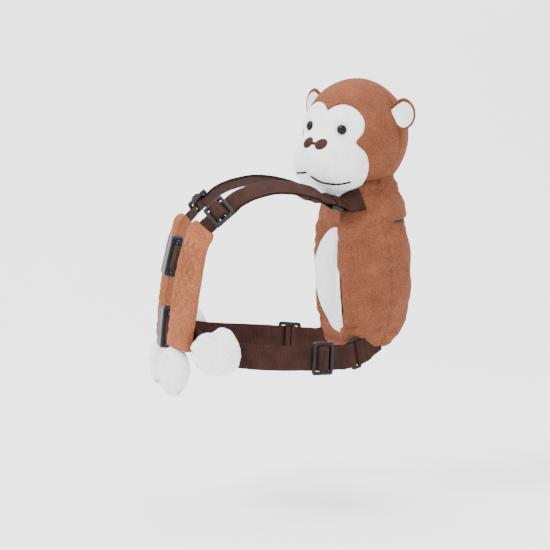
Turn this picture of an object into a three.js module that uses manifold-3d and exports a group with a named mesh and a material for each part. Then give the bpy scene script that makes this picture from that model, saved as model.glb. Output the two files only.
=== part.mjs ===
// A toddler's harness backpack in its worn form: a plush monkey pouch that hugs the wearer's back.
// Its webbing runs over both shoulders inside plush arms, and round the waist past plush feet.
// Millimetres, +Z up. The wearer faces -Y, and +X is the wearer's left.
// The origin lies midway between the two shoulder straps, on the underside of their crests.

import * as THREE from "three";
import { mergeVertices } from "three/addons/utils/BufferGeometryUtils.js";
import Module from "manifold-3d";

// Gaps between pieces that touch
const seatGap = 0.3;

// Webbing and its black plastic hardware
const webbingWidth = 25;
const webbingThickness = 1.5;
const slotEase = 1;
const ringBar = 3;
const ringGap = 6.4;
const adjusterThickness = 3.5;
const adjusterSideBar = 3.5;
const adjusterCentreBar = 4;
const adjusterSlot = 6.5;
const buckleHeight = 42;
const buckleThickness = 12;
const buckleHalfLength = 24;
const buckleBodyHalf = 14;
const buckleBarRadius = 1.7;
const buckleBarBack = 0.5;
const buckleArm = 4;
const buckleTail = 9;
const prongThickness = 5;
const prongWidth = 7;
const prongBump = 2.5;

// The room that the wearer fills, as the harness holds it
const shoulderHalfSpan = 62;
const frontReach = 93;
const strapDrop = 158.5;
const waistHalfWidth = 92;
const waistFront = 92;
const waistDrop = 166;
const chestStrapDrop = 68.6;
const chestBuckleFront = 100;
const chestBuckleLean = 13;
const waistBuckleFront = 106.8;
const waistBuckleDrop = 141.5;
const waistBuckleLean = 5.4;
const tabDrop = 16;

// Pouch: the monkey's body
const pouchTop = 12;
const pouchHeight = 183;
const pouchHalfWidth = 68;
const pouchFront = 64;
const pouchDepth = 86.6;
const pouchHollow = 14;
const pouchSideBulge = 5;
const pouchWall = 4;
const cavityTop = -28;
const cavityBottom = -150;
const slitHeight = 5;
const slitDepth = 8;
const zipperRecess = 1.2;
const zipperThickness = 1.8;
const bellyHalfWidth = 57;
const bellyHalfHeight = 54;
const bellyDrop = 98;
const bellyThickness = 7;

// Head, with its own frame: +X to the ear on the wearer's left, -Y forward, +Z up
const headPlace = { x: 0, y: 96, z: 50 };
const headTurn = 38;
const headRoll = 4;
const headHalfWidth = 54;
const headHalfHeight = 58;
const muzzleForward = 38;
const muzzleDrop = 26.5;
const muzzleHalfWidth = 40;
const muzzleRadius = 34;
const muzzleBlend = 14;
const faceThickness = 3.5;
const faceSeamTurn = 0.6;
const earOut = 54;
const earBack = 8;
const earUp = 27;
const earRadius = 15.5;
const earCup = 6;
const earShellThickness = 2.4;
const earLiningThickness = 1.8;
const earRim = 1.3;
const eyeRadius = 5;
const eyeHeight = 4;
const eyeOut = 21;
const eyeUp = 9.2;
const noseHalfWidth = 14.6;
const noseLobeOut = 8.3;
const noseLobeHeight = 5.4;
const noseBridge = 1.3;
const noseDrop = 6.4;
const noseThickness = 1.4;

// Plush sleeves, hands and feet
const armHalfWidth = 18;
const armFront = 10;
const armBack = 3;
const sleeveSlot = 3.4;
const handLength = 53;
const handWidth = 46;
const handThickness = 21;
const footLength = 54;
const footWidth = 50;
const footThickness = 19;

// Section of the pouch at each drop from its top, as shares of its height, half width and depth:
// front and rear are the half widths at the front and rear seams, and the last three lie behind the front.
const pouchSections = [
  { drop: 0, front: 0.32, rear: 0.4, frontY: 0.23, seamY: 0.56, backY: 0.8 },
  { drop: 0.066, front: 0.5, rear: 0.55, frontY: 0.13, seamY: 0.535, backY: 0.855 },
  { drop: 0.131, front: 0.635, rear: 0.65, frontY: 0.06, seamY: 0.53, backY: 0.89 },
  { drop: 0.202, front: 0.735, rear: 0.71, frontY: 0.025, seamY: 0.54, backY: 0.918 },
  { drop: 0.268, front: 0.82, rear: 0.765, frontY: 0.012, seamY: 0.565, backY: 0.941 },
  { drop: 0.377, front: 0.91, rear: 0.853, frontY: 0, seamY: 0.612, backY: 0.976 },
  { drop: 0.503, front: 0.97, rear: 0.912, frontY: 0, seamY: 0.63, backY: 0.997 },
  { drop: 0.628, front: 1, rear: 0.941, frontY: 0.012, seamY: 0.63, backY: 1 },
  { drop: 0.743, front: 0.985, rear: 0.926, frontY: 0.023, seamY: 0.618, backY: 0.964 },
  { drop: 0.836, front: 0.897, rear: 0.868, frontY: 0.04, seamY: 0.598, backY: 0.904 },
  { drop: 0.918, front: 0.72, rear: 0.735, frontY: 0.07, seamY: 0.566, backY: 0.808 },
  { drop: 0.973, front: 0.47, rear: 0.5, frontY: 0.115, seamY: 0.52, backY: 0.693 },
  { drop: 1, front: 0.18, rear: 0.2, frontY: 0.25, seamY: 0.44, backY: 0.53 },
];

// Upper edge of the zipped slit, as shares of pouchDepth behind the front and pouchHeight below the top.
const slitEdge = [
  { behind: 0.39, drop: 0.21 },
  { behind: 0.47, drop: 0.236 },
  { behind: 0.56, drop: 0.245 },
  { behind: 1.1, drop: 0.245 },
];

// Edge of the white face, seen from the head's centre: turn is round the forward axis from the ear
// side, up positive, and reach is the angle away from straight ahead, both in degrees.
const faceEdge = [
  { turn: -90, reach: 82 },
  { turn: -77, reach: 79 },
  { turn: -65, reach: 74.5 },
  { turn: -55.4, reach: 70.4 },
  { turn: -43.2, reach: 65.5 },
  { turn: -31.2, reach: 60.9 },
  { turn: -17.4, reach: 52.6 },
  { turn: -5.3, reach: 40.5 },
  { turn: 11.7, reach: 48.2 },
  { turn: 27.9, reach: 51.6 },
  { turn: 48.6, reach: 48.5 },
  { turn: 66.9, reach: 42.5 },
  { turn: 90, reach: 29 },
];

// Left shoulder strap from the end of its tab in the pouch to its crest, as shares of shoulderHalfSpan,
// pouchFront and tabDrop, with the outward direction of its face.
const tabStations = [
  { across: 0.74, behind: 1.44, drop: 0.84, face: [0.88, -0.05, 0.47] },
  { across: 0.795, behind: 1.156, drop: 1.03, face: [0.7, 0, 0.7] },
  { across: 0.865, behind: 0.953, drop: 1, face: [0.38, 0.1, 0.92] },
  { across: 0.9, behind: 0.734, drop: 0.55, face: [0.38, 0.2, 0.9] },
  { across: 0.935, behind: 0.484, drop: 0.24, face: [0.4, 0.14, 0.9] },
  { across: 0.968, behind: 0.25, drop: 0.05, face: [0.42, 0.06, 0.91] },
];
const shoulderRingStation = 2;

// The same strap from its crest to the end of its arm, as shares of shoulderHalfSpan, frontReach
// and strapDrop.
const shoulderStations = [
  { across: 1, ahead: 0, drop: 0, face: [0.42, 0.0, 0.91] },
  { across: 1, ahead: 0.14, drop: 0.013, face: [0.44, -0.2, 0.87] },
  { across: 1, ahead: 0.28, drop: 0.036, face: [0.47, -0.42, 0.78] },
  { across: 0.985, ahead: 0.43, drop: 0.082, face: [0.5, -0.58, 0.64] },
  { across: 0.965, ahead: 0.575, drop: 0.16, face: [0.5, -0.68, 0.53] },
  { across: 0.93, ahead: 0.74, drop: 0.243, face: [0.5, -0.78, 0.38] },
  { across: 0.89, ahead: 0.84, drop: 0.378, face: [0.48, -0.86, 0.18] },
  { across: 0.855, ahead: 0.903, drop: 0.568, face: [0.47, -0.87, 0.12] },
  { across: 0.8, ahead: 0.962, drop: 0.82, face: [0.45, -0.89, 0.07] },
  { across: 0.73, ahead: 1, drop: 1, face: [0.43, -0.9, 0.03] },
];
const shoulderAdjusterStation = tabStations.length + 4;
const armTopStation = shoulderAdjusterStation + 1;

// Left waist strap from the end of its tab in the pouch to its buckle, as shares of waistHalfWidth,
// waistFront and waistDrop.
const waistStations = [
  { across: 0.46, ahead: -1.19, drop: 0.935, face: [0.8, 0.56, 0] },
  { across: 0.58, ahead: -1.04, drop: 0.974, face: [0.8, 0.58, 0] },
  { across: 0.674, ahead: -0.88, drop: 1.006, face: [0.83, 0.55, 0] },
  { across: 0.772, ahead: -0.674, drop: 1.018, face: [0.86, 0.5, 0] },
  { across: 0.87, ahead: -0.457, drop: 1.014, face: [0.9, 0.44, 0] },
  { across: 0.957, ahead: -0.217, drop: 1.006, face: [0.98, 0.2, 0] },
  { across: 1, ahead: 0.011, drop: 1, face: [1, -0.02, 0] },
  { across: 0.98, ahead: 0.326, drop: 0.988, face: [0.95, -0.3, 0] },
  { across: 0.88, ahead: 0.63, drop: 0.964, face: [0.78, -0.62, 0] },
  { across: 0.666, ahead: 0.853, drop: 0.918, face: [0.52, -0.85, 0.03] },
  { across: 0.47, ahead: 0.953, drop: 0.884, face: [0.4, -0.91, 0.06] },
];
const waistRingStation = 2;
const waistAdjusterStation = 4;
const footStation = 8;

// Outline of a hand or foot, round from the side away from the thumb: turn in degrees and reach as a
// share of the half length and half width. The fingers point towards 270, the thumb towards 170.
const mittenOutline = [
  { turn: 0, reach: 0.9 },
  { turn: 35, reach: 0.88 },
  { turn: 70, reach: 0.92 },
  { turn: 110, reach: 0.92 },
  { turn: 140, reach: 0.94 },
  { turn: 165, reach: 1.08 },
  { turn: 185, reach: 1.04 },
  { turn: 205, reach: 0.84 },
  { turn: 232, reach: 0.95 },
  { turn: 255, reach: 1.03 },
  { turn: 285, reach: 1.04 },
  { turn: 315, reach: 1 },
  { turn: 338, reach: 0.95 },
  { turn: 360, reach: 0.9 },
];

const point = (x, y, z) => new THREE.Vector3(x, y, z);
const radians = THREE.MathUtils.degToRad;
const solidLibrary = await Module();
solidLibrary.setup();

// Value at x of a smooth curve through the given keys, with slopes from each key's two neighbours.
function smoothValue(keys, values, x) {
  const last = keys.length - 1;
  const slope = (i) => {
    const [a, b] = [Math.max(i - 1, 0), Math.min(i + 1, last)];
    return (values[b] - values[a]) / (keys[b] - keys[a]);
  };
  let i = 0;
  while (i < last - 1 && x > keys[i + 1]) i++;
  const span = keys[i + 1] - keys[i];
  const t = THREE.MathUtils.clamp((x - keys[i]) / span, 0, 1);
  const [t2, t3] = [t * t, t * t * t];
  return (
    (2 * t3 - 3 * t2 + 1) * values[i] +
    (t3 - 2 * t2 + t) * span * slope(i) +
    (3 * t2 - 2 * t3) * values[i + 1] +
    (t3 - t2) * span * slope(i + 1)
  );
}

// The same for one column of a table.
function column(table, key, name, x) {
  return smoothValue(table.map((row) => row[key]), table.map((row) => row[name]), x);
}

// Joins rings of equal counts of points into one closed skin, with a point or a flat fan over each
// end, or with the last ring joined to the first. Joins named in turned split their four-sided faces
// the other way.
function loft(rings, { start, end, closed = false, turned = [] } = {}) {
  const around = rings[0].length;
  const points = rings.flat();
  const faces = [];
  const joins = closed ? rings.length : rings.length - 1;
  for (let ring = 0; ring < joins; ring++) {
    const next = (ring + 1) % rings.length;
    for (let step = 0; step < around; step++) {
      const after = (step + 1) % around;
      const [a, b] = [ring * around + step, ring * around + after];
      const [c, d] = [next * around + after, next * around + step];
      faces.push(...(turned[ring] ? [a, b, d, b, c, d] : [a, b, c, a, c, d]));
    }
  }
  if (!closed) {
    const middle = (ring) =>
      ring.reduce((sum, p) => sum.add(p), point(0, 0, 0)).divideScalar(ring.length);
    const lastRing = (rings.length - 1) * around;
    points.push(start ?? middle(rings[0]), end ?? middle(rings[rings.length - 1]));
    for (let step = 0; step < around; step++) {
      const after = (step + 1) % around;
      faces.push(points.length - 2, after, step);
      faces.push(points.length - 1, lastRing + step, lastRing + after);
    }
  }
  return outwardGeometry(points, faces);
}

// Geometry from points and faces, turned round if its faces point inwards.
function outwardGeometry(points, faces) {
  let volume = 0;
  for (let i = 0; i < faces.length; i += 3) {
    const [a, b, c] = [0, 1, 2].map((k) => points[faces[i + k]]);
    volume += a.dot(b.clone().cross(c));
  }
  const ordered = volume < 0 ? faces.slice().reverse() : faces;
  return new THREE.BufferGeometry().setFromPoints(points).setIndex(ordered);
}

// Conversions between three.js geometry and solids that can be joined and cut.
function solidOf(geometry) {
  const bare = geometry.clone();
  bare.deleteAttribute("normal");
  bare.deleteAttribute("uv");
  const merged = mergeVertices(bare, 1e-3);
  return new solidLibrary.Manifold(
    new solidLibrary.Mesh({
      numProp: 3,
      vertProperties: new Float32Array(merged.attributes.position.array),
      triVerts: new Uint32Array(merged.index.array),
    }),
  );
}

function geometryOf(solid) {
  const mesh = solid.getMesh();
  const geometry = new THREE.BufferGeometry();
  geometry.setAttribute("position", new THREE.BufferAttribute(mesh.vertProperties, 3));
  geometry.setIndex(new THREE.BufferAttribute(mesh.triVerts, 1));
  return geometry;
}

function boxSolid(low, high) {
  const size = high.clone().sub(low);
  const box = new THREE.BoxGeometry(size.x, size.y, size.z);
  return solidOf(box.translate(...low.clone().add(high).divideScalar(2).toArray()));
}

// A smooth line through stations, measured by distance. Near each flat place it runs straight, so
// that stiff hardware can lie on it. A frame has the place, the run along, the face's outward
// direction, and the direction across the webbing.
function makeRoute(stations, flatPlaces = []) {
  const distances = [0];
  stations.slice(1).forEach((station, i) => {
    distances.push(distances[i] + station.place.distanceTo(stations[i].place));
  });
  const length = distances[distances.length - 1];
  const blend = (pick, s) => {
    const along = (axis) => smoothValue(distances, stations.map((st) => pick(st)[axis]), s);
    return point(along("x"), along("y"), along("z"));
  };
  const curved = (s) => {
    const step = 0.5;
    const place = blend((station) => station.place, s);
    const [low, high] = [Math.max(s - step, 0), Math.min(s + step, length)];
    const along = blend((st) => st.place, high).sub(blend((st) => st.place, low)).normalize();
    const face = blend((station) => station.face, s);
    face.addScaledVector(along, -face.dot(along)).normalize();
    return { place, along, face, across: along.clone().cross(face) };
  };
  const straightened = (s) => {
    const inside = THREE.MathUtils.clamp(s, 0, length);
    const { place, along, across } = curved(inside);
    place.addScaledVector(along, s - inside);
    for (const flat of flatPlaces) {
      const away = (Math.abs(s - flat.at) - flat.half) / flat.fade;
      const share = 1 - THREE.MathUtils.smoothstep(away, 0, 1);
      if (share <= 0) continue;
      const base = curved(flat.at);
      place.lerp(base.place.clone().addScaledVector(base.along, s - flat.at), share);
      across.lerp(base.across, share);
    }
    return { place, across };
  };
  const at = (s, height = 0) => {
    const step = 0.5;
    const { place, across } = straightened(s);
    const along = straightened(s + step).place.sub(straightened(s - step).place).normalize();
    across.addScaledVector(along, -across.dot(along)).normalize();
    const face = across.clone().cross(along);
    return { place: place.addScaledVector(face, height), along, face, across };
  };
  return { length, at, distances, curved };
}

// Webbing laid along a route: its path is a list of [distance, height above the route] points. Lanes
// split its width, and layers that run back split their faces the other way, so that it can twist
// without its layers touching.
function webbing(route, path, options = {}) {
  const { width = webbingWidth, thickness = webbingThickness, spacing = 6, lanes = 2 } = options;
  const lengths = [0];
  path.slice(1).forEach(([s, h], i) => {
    lengths.push(lengths[i] + Math.hypot(s - path[i][0], h - path[i][1]));
  });
  const total = lengths[lengths.length - 1];
  const steps = [];
  path.slice(1).forEach((end, i) => {
    const count = Math.max(1, Math.round((lengths[i + 1] - lengths[i]) / spacing));
    for (let k = 0; k < count; k++) steps.push(lengths[i] + ((lengths[i + 1] - lengths[i]) * k) / count);
  });
  steps.push(total);
  const [distances, heights] = [0, 1].map((k) =>
    steps.map((d) => smoothValue(lengths, path.map((p) => p[k]), d)),
  );
  const frames = distances.map((s, i) => route.at(s, heights[i]));
  const edges = Array.from({ length: lanes + 1 }, (_, i) => (2 * i) / lanes - 1);
  const section = [...edges.map((side) => [side, -1]), ...edges.toReversed().map((side) => [side, 1])];
  const rings = frames.map((frame, i) => {
    const before = frames[Math.max(i - 1, 0)].place;
    const after = frames[Math.min(i + 1, frames.length - 1)].place;
    const along = after.clone().sub(before).normalize();
    const normal = frame.across.clone().cross(along).normalize();
    return section.map(([side, skin]) =>
      frame.place
        .clone()
        .addScaledVector(frame.across, (side * width) / 2)
        .addScaledVector(normal, (skin * thickness) / 2),
    );
  });
  return loft(rings, { turned: distances.map((s, i) => distances[i + 1] < s) });
}

// Matrix that lays a piece drawn in x along, y across and z outward onto a route.
function layOn(route, s, height) {
  const { place, along, across, face } = route.curved(s);
  const matrix = new THREE.Matrix4().makeBasis(along, across.clone().negate(), face);
  return matrix.setPosition(place.addScaledVector(face, height));
}

// A flat frame of bars round slots, drawn in x along and y across.
function slottedFrame(length, height, thickness, slots, slotHeight, corner) {
  const outline = roundedRectangle(new THREE.Shape(), -length / 2, -height / 2, length, height, corner);
  for (const [from, to] of slots) {
    outline.holes.push(
      roundedRectangle(new THREE.Path(), from, -slotHeight / 2, to - from, slotHeight, 0.8),
    );
  }
  const settings = { depth: thickness, bevelEnabled: false, curveSegments: 1 };
  return new THREE.ExtrudeGeometry(outline, settings).translate(0, 0, -thickness / 2);
}

function roundedRectangle(path, x, y, width, height, radius) {
  path.moveTo(x + radius, y);
  path.lineTo(x + width - radius, y);
  path.absarc(x + width - radius, y + radius, radius, -Math.PI / 2, 0, false);
  path.lineTo(x + width, y + height - radius);
  path.absarc(x + width - radius, y + height - radius, radius, 0, Math.PI / 2, false);
  path.lineTo(x + radius, y + height);
  path.absarc(x + radius, y + height - radius, radius, Math.PI / 2, Math.PI, false);
  path.lineTo(x, y + radius);
  path.absarc(x + radius, y + radius, radius, Math.PI, 1.5 * Math.PI, false);
  return path;
}

// Derived sizes of the webbing's layers and the hardware that they pass
const layerStep = webbingThickness + seatGap;
const wrapReach = webbingThickness / 2 + 1.35 * seatGap;
const adjusterHeight = layerStep + wrapReach + adjusterThickness / 2;
const hardwareHeight = webbingWidth + slotEase;
const ringBarOffset = (ringGap + ringBar) / 2;
const adjusterSlotEnd = adjusterCentreBar / 2 + adjusterSlot;
const buckleBarOffset = buckleHalfLength - buckleBarRadius;
const layersMeet = 8;
const levelEnd = 3;

// Path round a rectangular bar at [s, h], from below it to above it past its given side.
function pathRoundBar(s, h, halfLength, halfThickness, side) {
  const corner = wrapReach * Math.SQRT1_2;
  return [
    [s - side * halfLength, h - halfThickness - wrapReach],
    [s + side * halfLength, h - halfThickness - wrapReach],
    [s + side * (halfLength + corner), h - halfThickness - corner],
    [s + side * (halfLength + wrapReach), h - halfThickness],
    [s + side * (halfLength + wrapReach), h + halfThickness],
    [s + side * (halfLength + corner), h + halfThickness + corner],
    [s + side * halfLength, h + halfThickness + wrapReach],
    [s - side * halfLength, h + halfThickness + wrapReach],
  ];
}

// Path round a round bar at [s, h], in the same order.
function pathRoundPin(s, h, radius, side) {
  const reach = (radius + seatGap + webbingThickness / 2) / Math.cos(Math.PI / 8);
  return [-90, -45, 0, 45, 90].map((turn) => [
    s + side * reach * Math.cos(radians(turn)),
    h + reach * Math.sin(radians(turn)),
  ]);
}

// A level stretch of a path. The points just inside its ends keep it level between them.
function levelStretch(from, to, height) {
  const step = levelEnd * Math.sign(to - from);
  return [from, from + step, to - step, to].map((s) => [s, height]);
}

// Path of a strap that leaves its adjuster, turns round the ring's bar and comes back to end round
// the adjuster's centre bar. It starts below the adjuster on the side away from the ring.
function doubledPath(ringAt, adjusterAt) {
  const halfBar = adjusterCentreBar / 2;
  const halfThickness = adjusterThickness / 2;
  const under = adjusterHeight - halfThickness - wrapReach;
  const over = adjusterHeight + halfThickness + wrapReach;
  const inner = halfBar + wrapReach;
  const outer = inner + layerStep;
  const rise = [
    [adjusterSlotEnd, under],
    [outer + 1.3, adjusterHeight - 1.1],
    [outer + 0.2, adjusterHeight + 1.3],
    [inner + 0.9, over + 0.8],
    [halfBar, over + layerStep],
  ];
  const barOf = (side) => pathRoundBar(adjusterAt, adjusterHeight, halfBar, halfThickness, side);
  return [
    [adjusterAt + adjusterSlotEnd + adjusterSideBar + 6, 0],
    [adjusterAt + adjusterSlotEnd + adjusterSideBar, 0.6 * under],
    ...rise.map(([s, h]) => [adjusterAt + s, h]),
    ...rise.reverse().map(([s, h]) => [adjusterAt - s, h]),
    ...levelStretch(adjusterAt - adjusterSlotEnd - adjusterSideBar, ringAt + layersMeet, layerStep),
    ...pathRoundBar(ringAt, layerStep / 2, ringBar / 2, ringBar / 2, -1).reverse(),
    ...levelStretch(ringAt + layersMeet, adjusterAt - adjusterSlotEnd, 0),
    [adjusterAt - inner - 2.2, 0.35],
    [adjusterAt - inner - 0.4, 1.9],
    ...barOf(-1).slice(4, 7),
    ...barOf(1).reverse().slice(1),
  ];
}

// Path of a tab that turns round the ring's bar, with both ends at s = 0.
function tabPath(ringAt) {
  return [
    ...levelStretch(0, ringAt - layersMeet, 0),
    ...pathRoundBar(ringAt, layerStep / 2, ringBar / 2, ringBar / 2, 1),
    ...levelStretch(ringAt - layersMeet, 0, layerStep),
  ];
}

// Routes of the left straps
const stationOf = ({ across, ahead, drop, face }, width, depth, height) => ({
  place: point(across * width, -ahead * depth, webbingThickness / 2 - drop * height),
  face: point(...face).normalize(),
});
const shoulderStrapStations = [
  ...tabStations
    .map((row) => ({ ...row, ahead: -row.behind }))
    .map((row) => stationOf(row, shoulderHalfSpan, pouchFront, tabDrop)),
  ...shoulderStations.map((row) => stationOf(row, shoulderHalfSpan, frontReach, strapDrop)),
];

// Matrix of a buckle: x along the strap to the wearer's left, y up its height, z outward.
function buckleMatrix(front, drop, lean) {
  const tilt = new THREE.Matrix4().makeRotationX(Math.PI / 2 + radians(-lean));
  const centre = point(0, -front, -drop);
  const outward = point(0, 0, 1).transformDirection(tilt);
  return tilt.setPosition(centre.addScaledVector(outward, -buckleThickness / 2));
}
const chestBuckleMatrix = buckleMatrix(chestBuckleFront, chestStrapDrop, chestBuckleLean);
const waistBuckleMatrix = buckleMatrix(waistBuckleFront, waistBuckleDrop, waistBuckleLean);

// Two stations by a buckle's bar: one beyond it and one on it. The strap leaves at an angle to the buckle.
function barStations(matrix, angle, reach) {
  const along = point(Math.cos(angle), 0, -Math.sin(angle));
  const bar = point(buckleBarOffset, 0, -buckleBarBack);
  const face = point(Math.sin(angle), 0, Math.cos(angle)).transformDirection(matrix);
  return [
    { place: bar.clone().addScaledVector(along, reach).applyMatrix4(matrix), face },
    { place: bar.applyMatrix4(matrix), face },
  ];
}
const waistStrapStations = [
  ...waistStations.map((row) => stationOf(row, waistHalfWidth, waistFront, waistDrop)),
  ...barStations(waistBuckleMatrix, radians(24), 8),
];

function strapRoute(stations, ringStation, adjusterStation, ringFlat) {
  const { distances } = makeRoute(stations);
  const ringAt = distances[ringStation];
  const adjusterAt = distances[adjusterStation];
  const route = makeRoute(stations, [
    { at: ringAt, ...ringFlat },
    { at: adjusterAt, half: adjusterSlotEnd + adjusterSideBar, fade: 8 },
  ]);
  return { ...route, ringAt, adjusterAt };
}
const shoulderRoute = strapRoute(shoulderStrapStations, shoulderRingStation, shoulderAdjusterStation, {
  half: ringBarOffset + 4,
  fade: 16,
});
const waistRoute = strapRoute(waistStrapStations, waistRingStation, waistAdjusterStation, {
  half: ringBarOffset + 8,
  fade: 8,
});
const armTopAt = shoulderRoute.distances[armTopStation];
const footAt = waistRoute.distances[footStation];

// Chest strap: it starts in a pocket in the arm's inner edge and ends round the buckle's bar.
const chestAt = smoothValue(
  shoulderStrapStations.map((station) => -station.place.z).slice(armTopStation),
  shoulderRoute.distances.slice(armTopStation),
  chestStrapDrop + 0.32 * armHalfWidth,
);
const chestPocketHeight = -0.5;
const armFrame = shoulderRoute.at(chestAt, chestPocketHeight);
const chestStations = [0.77, 1.1].map((share) => ({
  place: armFrame.place.clone().addScaledVector(armFrame.across, share * armHalfWidth),
  face: armFrame.face,
}));
const chestRoute = makeRoute([...chestStations, ...barStations(chestBuckleMatrix, radians(-5), 6)]);

// Pieces
const strapNodes = {};
const twisted = { spacing: 2, lanes: 4 };
strapNodes.shoulder_tab = webbing(shoulderRoute, tabPath(shoulderRoute.ringAt - ringBarOffset), twisted);
const strapEnd = shoulderRoute.length - webbingWidth - 5;
strapNodes.shoulder_strap = webbing(shoulderRoute, [
  [strapEnd, 0],
  ...doubledPath(shoulderRoute.ringAt + ringBarOffset, shoulderRoute.adjusterAt),
]);
strapNodes.waist_tab = webbing(waistRoute, tabPath(waistRoute.ringAt - ringBarOffset), { spacing: 4 });
const barEnd = (route) => [
  [route.length - buckleTail, -layerStep / 2],
  [route.length - 5, -0.75 * layerStep],
  ...pathRoundPin(route.length, 0, buckleBarRadius, 1),
  [route.length - 5, 0.75 * layerStep],
  [route.length - buckleTail, layerStep / 2],
];
strapNodes.waist_strap = webbing(waistRoute, [
  ...barEnd(waistRoute),
  [waistRoute.length - buckleTail - 5, 0],
  ...doubledPath(waistRoute.ringAt + ringBarOffset, waistRoute.adjusterAt),
]);
const chestPath = [[chestRoute.length - buckleTail - 4, 0.2 * layerStep], [0, 0]];
strapNodes.chest_strap = webbing(chestRoute, [...barEnd(chestRoute), ...chestPath], twisted);

const ring = slottedFrame(
  ringGap + 2 * ringBar,
  hardwareHeight + 2 * ringBar,
  ringBar,
  [[-ringGap / 2, ringGap / 2]],
  hardwareHeight,
  1.6,
);
const adjuster = slottedFrame(
  2 * (adjusterSlotEnd + adjusterSideBar),
  hardwareHeight + 2 * adjusterSideBar,
  adjusterThickness,
  [[-adjusterSlotEnd, -adjusterCentreBar / 2], [adjusterCentreBar / 2, adjusterSlotEnd]],
  hardwareHeight,
  2.5,
);
for (const [place, route] of [["shoulder", shoulderRoute], ["waist", waistRoute]]) {
  const ringMatrix = layOn(route, route.ringAt, layerStep / 2);
  const adjusterMatrix = layOn(route, route.adjusterAt, adjusterHeight);
  strapNodes[`${place}_ring`] = ring.clone().applyMatrix4(ringMatrix);
  strapNodes[`${place}_adjuster`] = adjuster.clone().applyMatrix4(adjusterMatrix);
}

// Buckle halves, drawn with x along the strap, y up and z outward
function blockSolid(x0, x1, halfHeight, back, front) {
  return boxSolid(point(x0, -halfHeight, back), point(x1, halfHeight, front));
}

function plateSolid(x0, x1, halfHeight, back, front, corner) {
  const outline = roundedRectangle(new THREE.Shape(), x0, -halfHeight, x1 - x0, 2 * halfHeight, corner);
  const settings = { depth: front - back, bevelEnabled: false, curveSegments: 2 };
  return solidOf(new THREE.ExtrudeGeometry(outline, settings).translate(0, 0, back));
}

// Two arms that reach from x0 to the strap's bar, and the bar between them.
function barFrame(x0) {
  const half = hardwareHeight / 2;
  const [back, front] = [-buckleBarBack - buckleBarRadius, -buckleBarBack + buckleBarRadius];
  const bar = new THREE.CylinderGeometry(buckleBarRadius, buckleBarRadius, 2 * half + buckleArm, 10);
  bar.translate(buckleBarOffset, 0, -buckleBarBack);
  let frame = solidOf(bar);
  for (const side of [-1, 1]) {
    const middle = side * (half + buckleArm / 2);
    const low = point(x0, middle - buckleArm / 2, back);
    const high = point(buckleHalfLength, middle + buckleArm / 2, front);
    frame = frame.add(boxSolid(low, high));
  }
  return frame;
}

const mouth = -4;
const prongTip = 11;
const prongReach = buckleHeight / 2 - 3.5;
const halfThick = buckleThickness / 2;

function femaleBuckle() {
  const halfHeight = buckleHeight / 2;
  let body = plateSolid(mouth, buckleBodyHalf, halfHeight, -halfThick, halfThick, 3);
  body = body.add(barFrame(buckleBodyHalf - 2));
  const room = prongThickness / 2 + seatGap;
  body = body.subtract(blockSolid(mouth - 1, prongTip + 0.8, prongReach + seatGap, -room, room));
  return body.subtract(blockSolid(2, prongTip - 1, halfHeight + 1, -room, room));
}

function maleBuckle() {
  const halfHeight = buckleHeight / 2;
  const join = -mouth + seatGap;
  let body = plateSolid(join, buckleBodyHalf, halfHeight - 1, -halfThick, halfThick, 3);
  body = body.add(barFrame(buckleBodyHalf - 2));
  const half = prongThickness / 2;
  for (const side of [-1, 1]) {
    const near = side * (prongReach - prongWidth);
    const far = side * prongReach;
    const low = point(-prongTip, Math.min(near, far), -half);
    const high = point(join + 1, Math.max(near, far), half);
    const bump = side * (prongReach + prongBump);
    const bumpLow = point(1.4 - prongTip, Math.min(near, bump), -half);
    const bumpHigh = point(-2.4, Math.max(near, bump), half);
    body = body.add(boxSolid(low, high)).add(boxSolid(bumpLow, bumpHigh));
  }
  return body.add(blockSolid(-prongTip, join + 1, 3, -half, half)).rotate([0, 0, 180]);
}

const female = geometryOf(femaleBuckle());
const male = geometryOf(maleBuckle());

// A plush mitten bent along a route: fingers towards +s, thumb towards the route's across.
function mittenSolid(route, at, height, length, width, thickness) {
  const keys = mittenOutline.map((row) => row.turn);
  const reaches = mittenOutline.map((row) => row.reach);
  const rings = [];
  for (let level = 0; level <= 5; level++) {
    const lift = -Math.cos((Math.PI * (level + 0.4)) / 5.8);
    const share = Math.pow(1 - Math.pow(Math.abs(lift), 2.4), 1 / 2.4);
    const ringPoints = [];
    for (let step = 0; step < 24; step++) {
      const turn = 15 * step;
      const reach = smoothValue(keys, reaches, turn) * share;
      const side = (reach * Math.cos(radians(turn)) * width) / 2;
      const along = (-reach * Math.sin(radians(turn)) * length) / 2;
      const frame = route.at(at + along, height + (lift * thickness) / 2);
      ringPoints.push(frame.place.clone().addScaledVector(frame.across, -side));
    }
    rings.push(ringPoints);
  }
  return solidOf(loft(rings));
}

// Fullness and breadth of a sleeve at each share of its length from its gathered upper end
const sleeveFill = [
  { share: 0, fill: 0.55 },
  { share: 0.012, fill: 0.76 },
  { share: 0.035, fill: 0.92 },
  { share: 0.07, fill: 1 },
  { share: 0.12, fill: 0.96 },
  { share: 0.28, fill: 1 },
  { share: 0.965, fill: 1 },
  { share: 1, fill: 0.93 },
];
const sleeveBreadth = [
  { share: 0, broad: 0.82 },
  { share: 0.035, broad: 0.97 },
  { share: 0.07, broad: 1 },
  { share: 0.14, broad: 0.93 },
  { share: 0.3, broad: 1 },
  { share: 1, broad: 1 },
];

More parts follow.
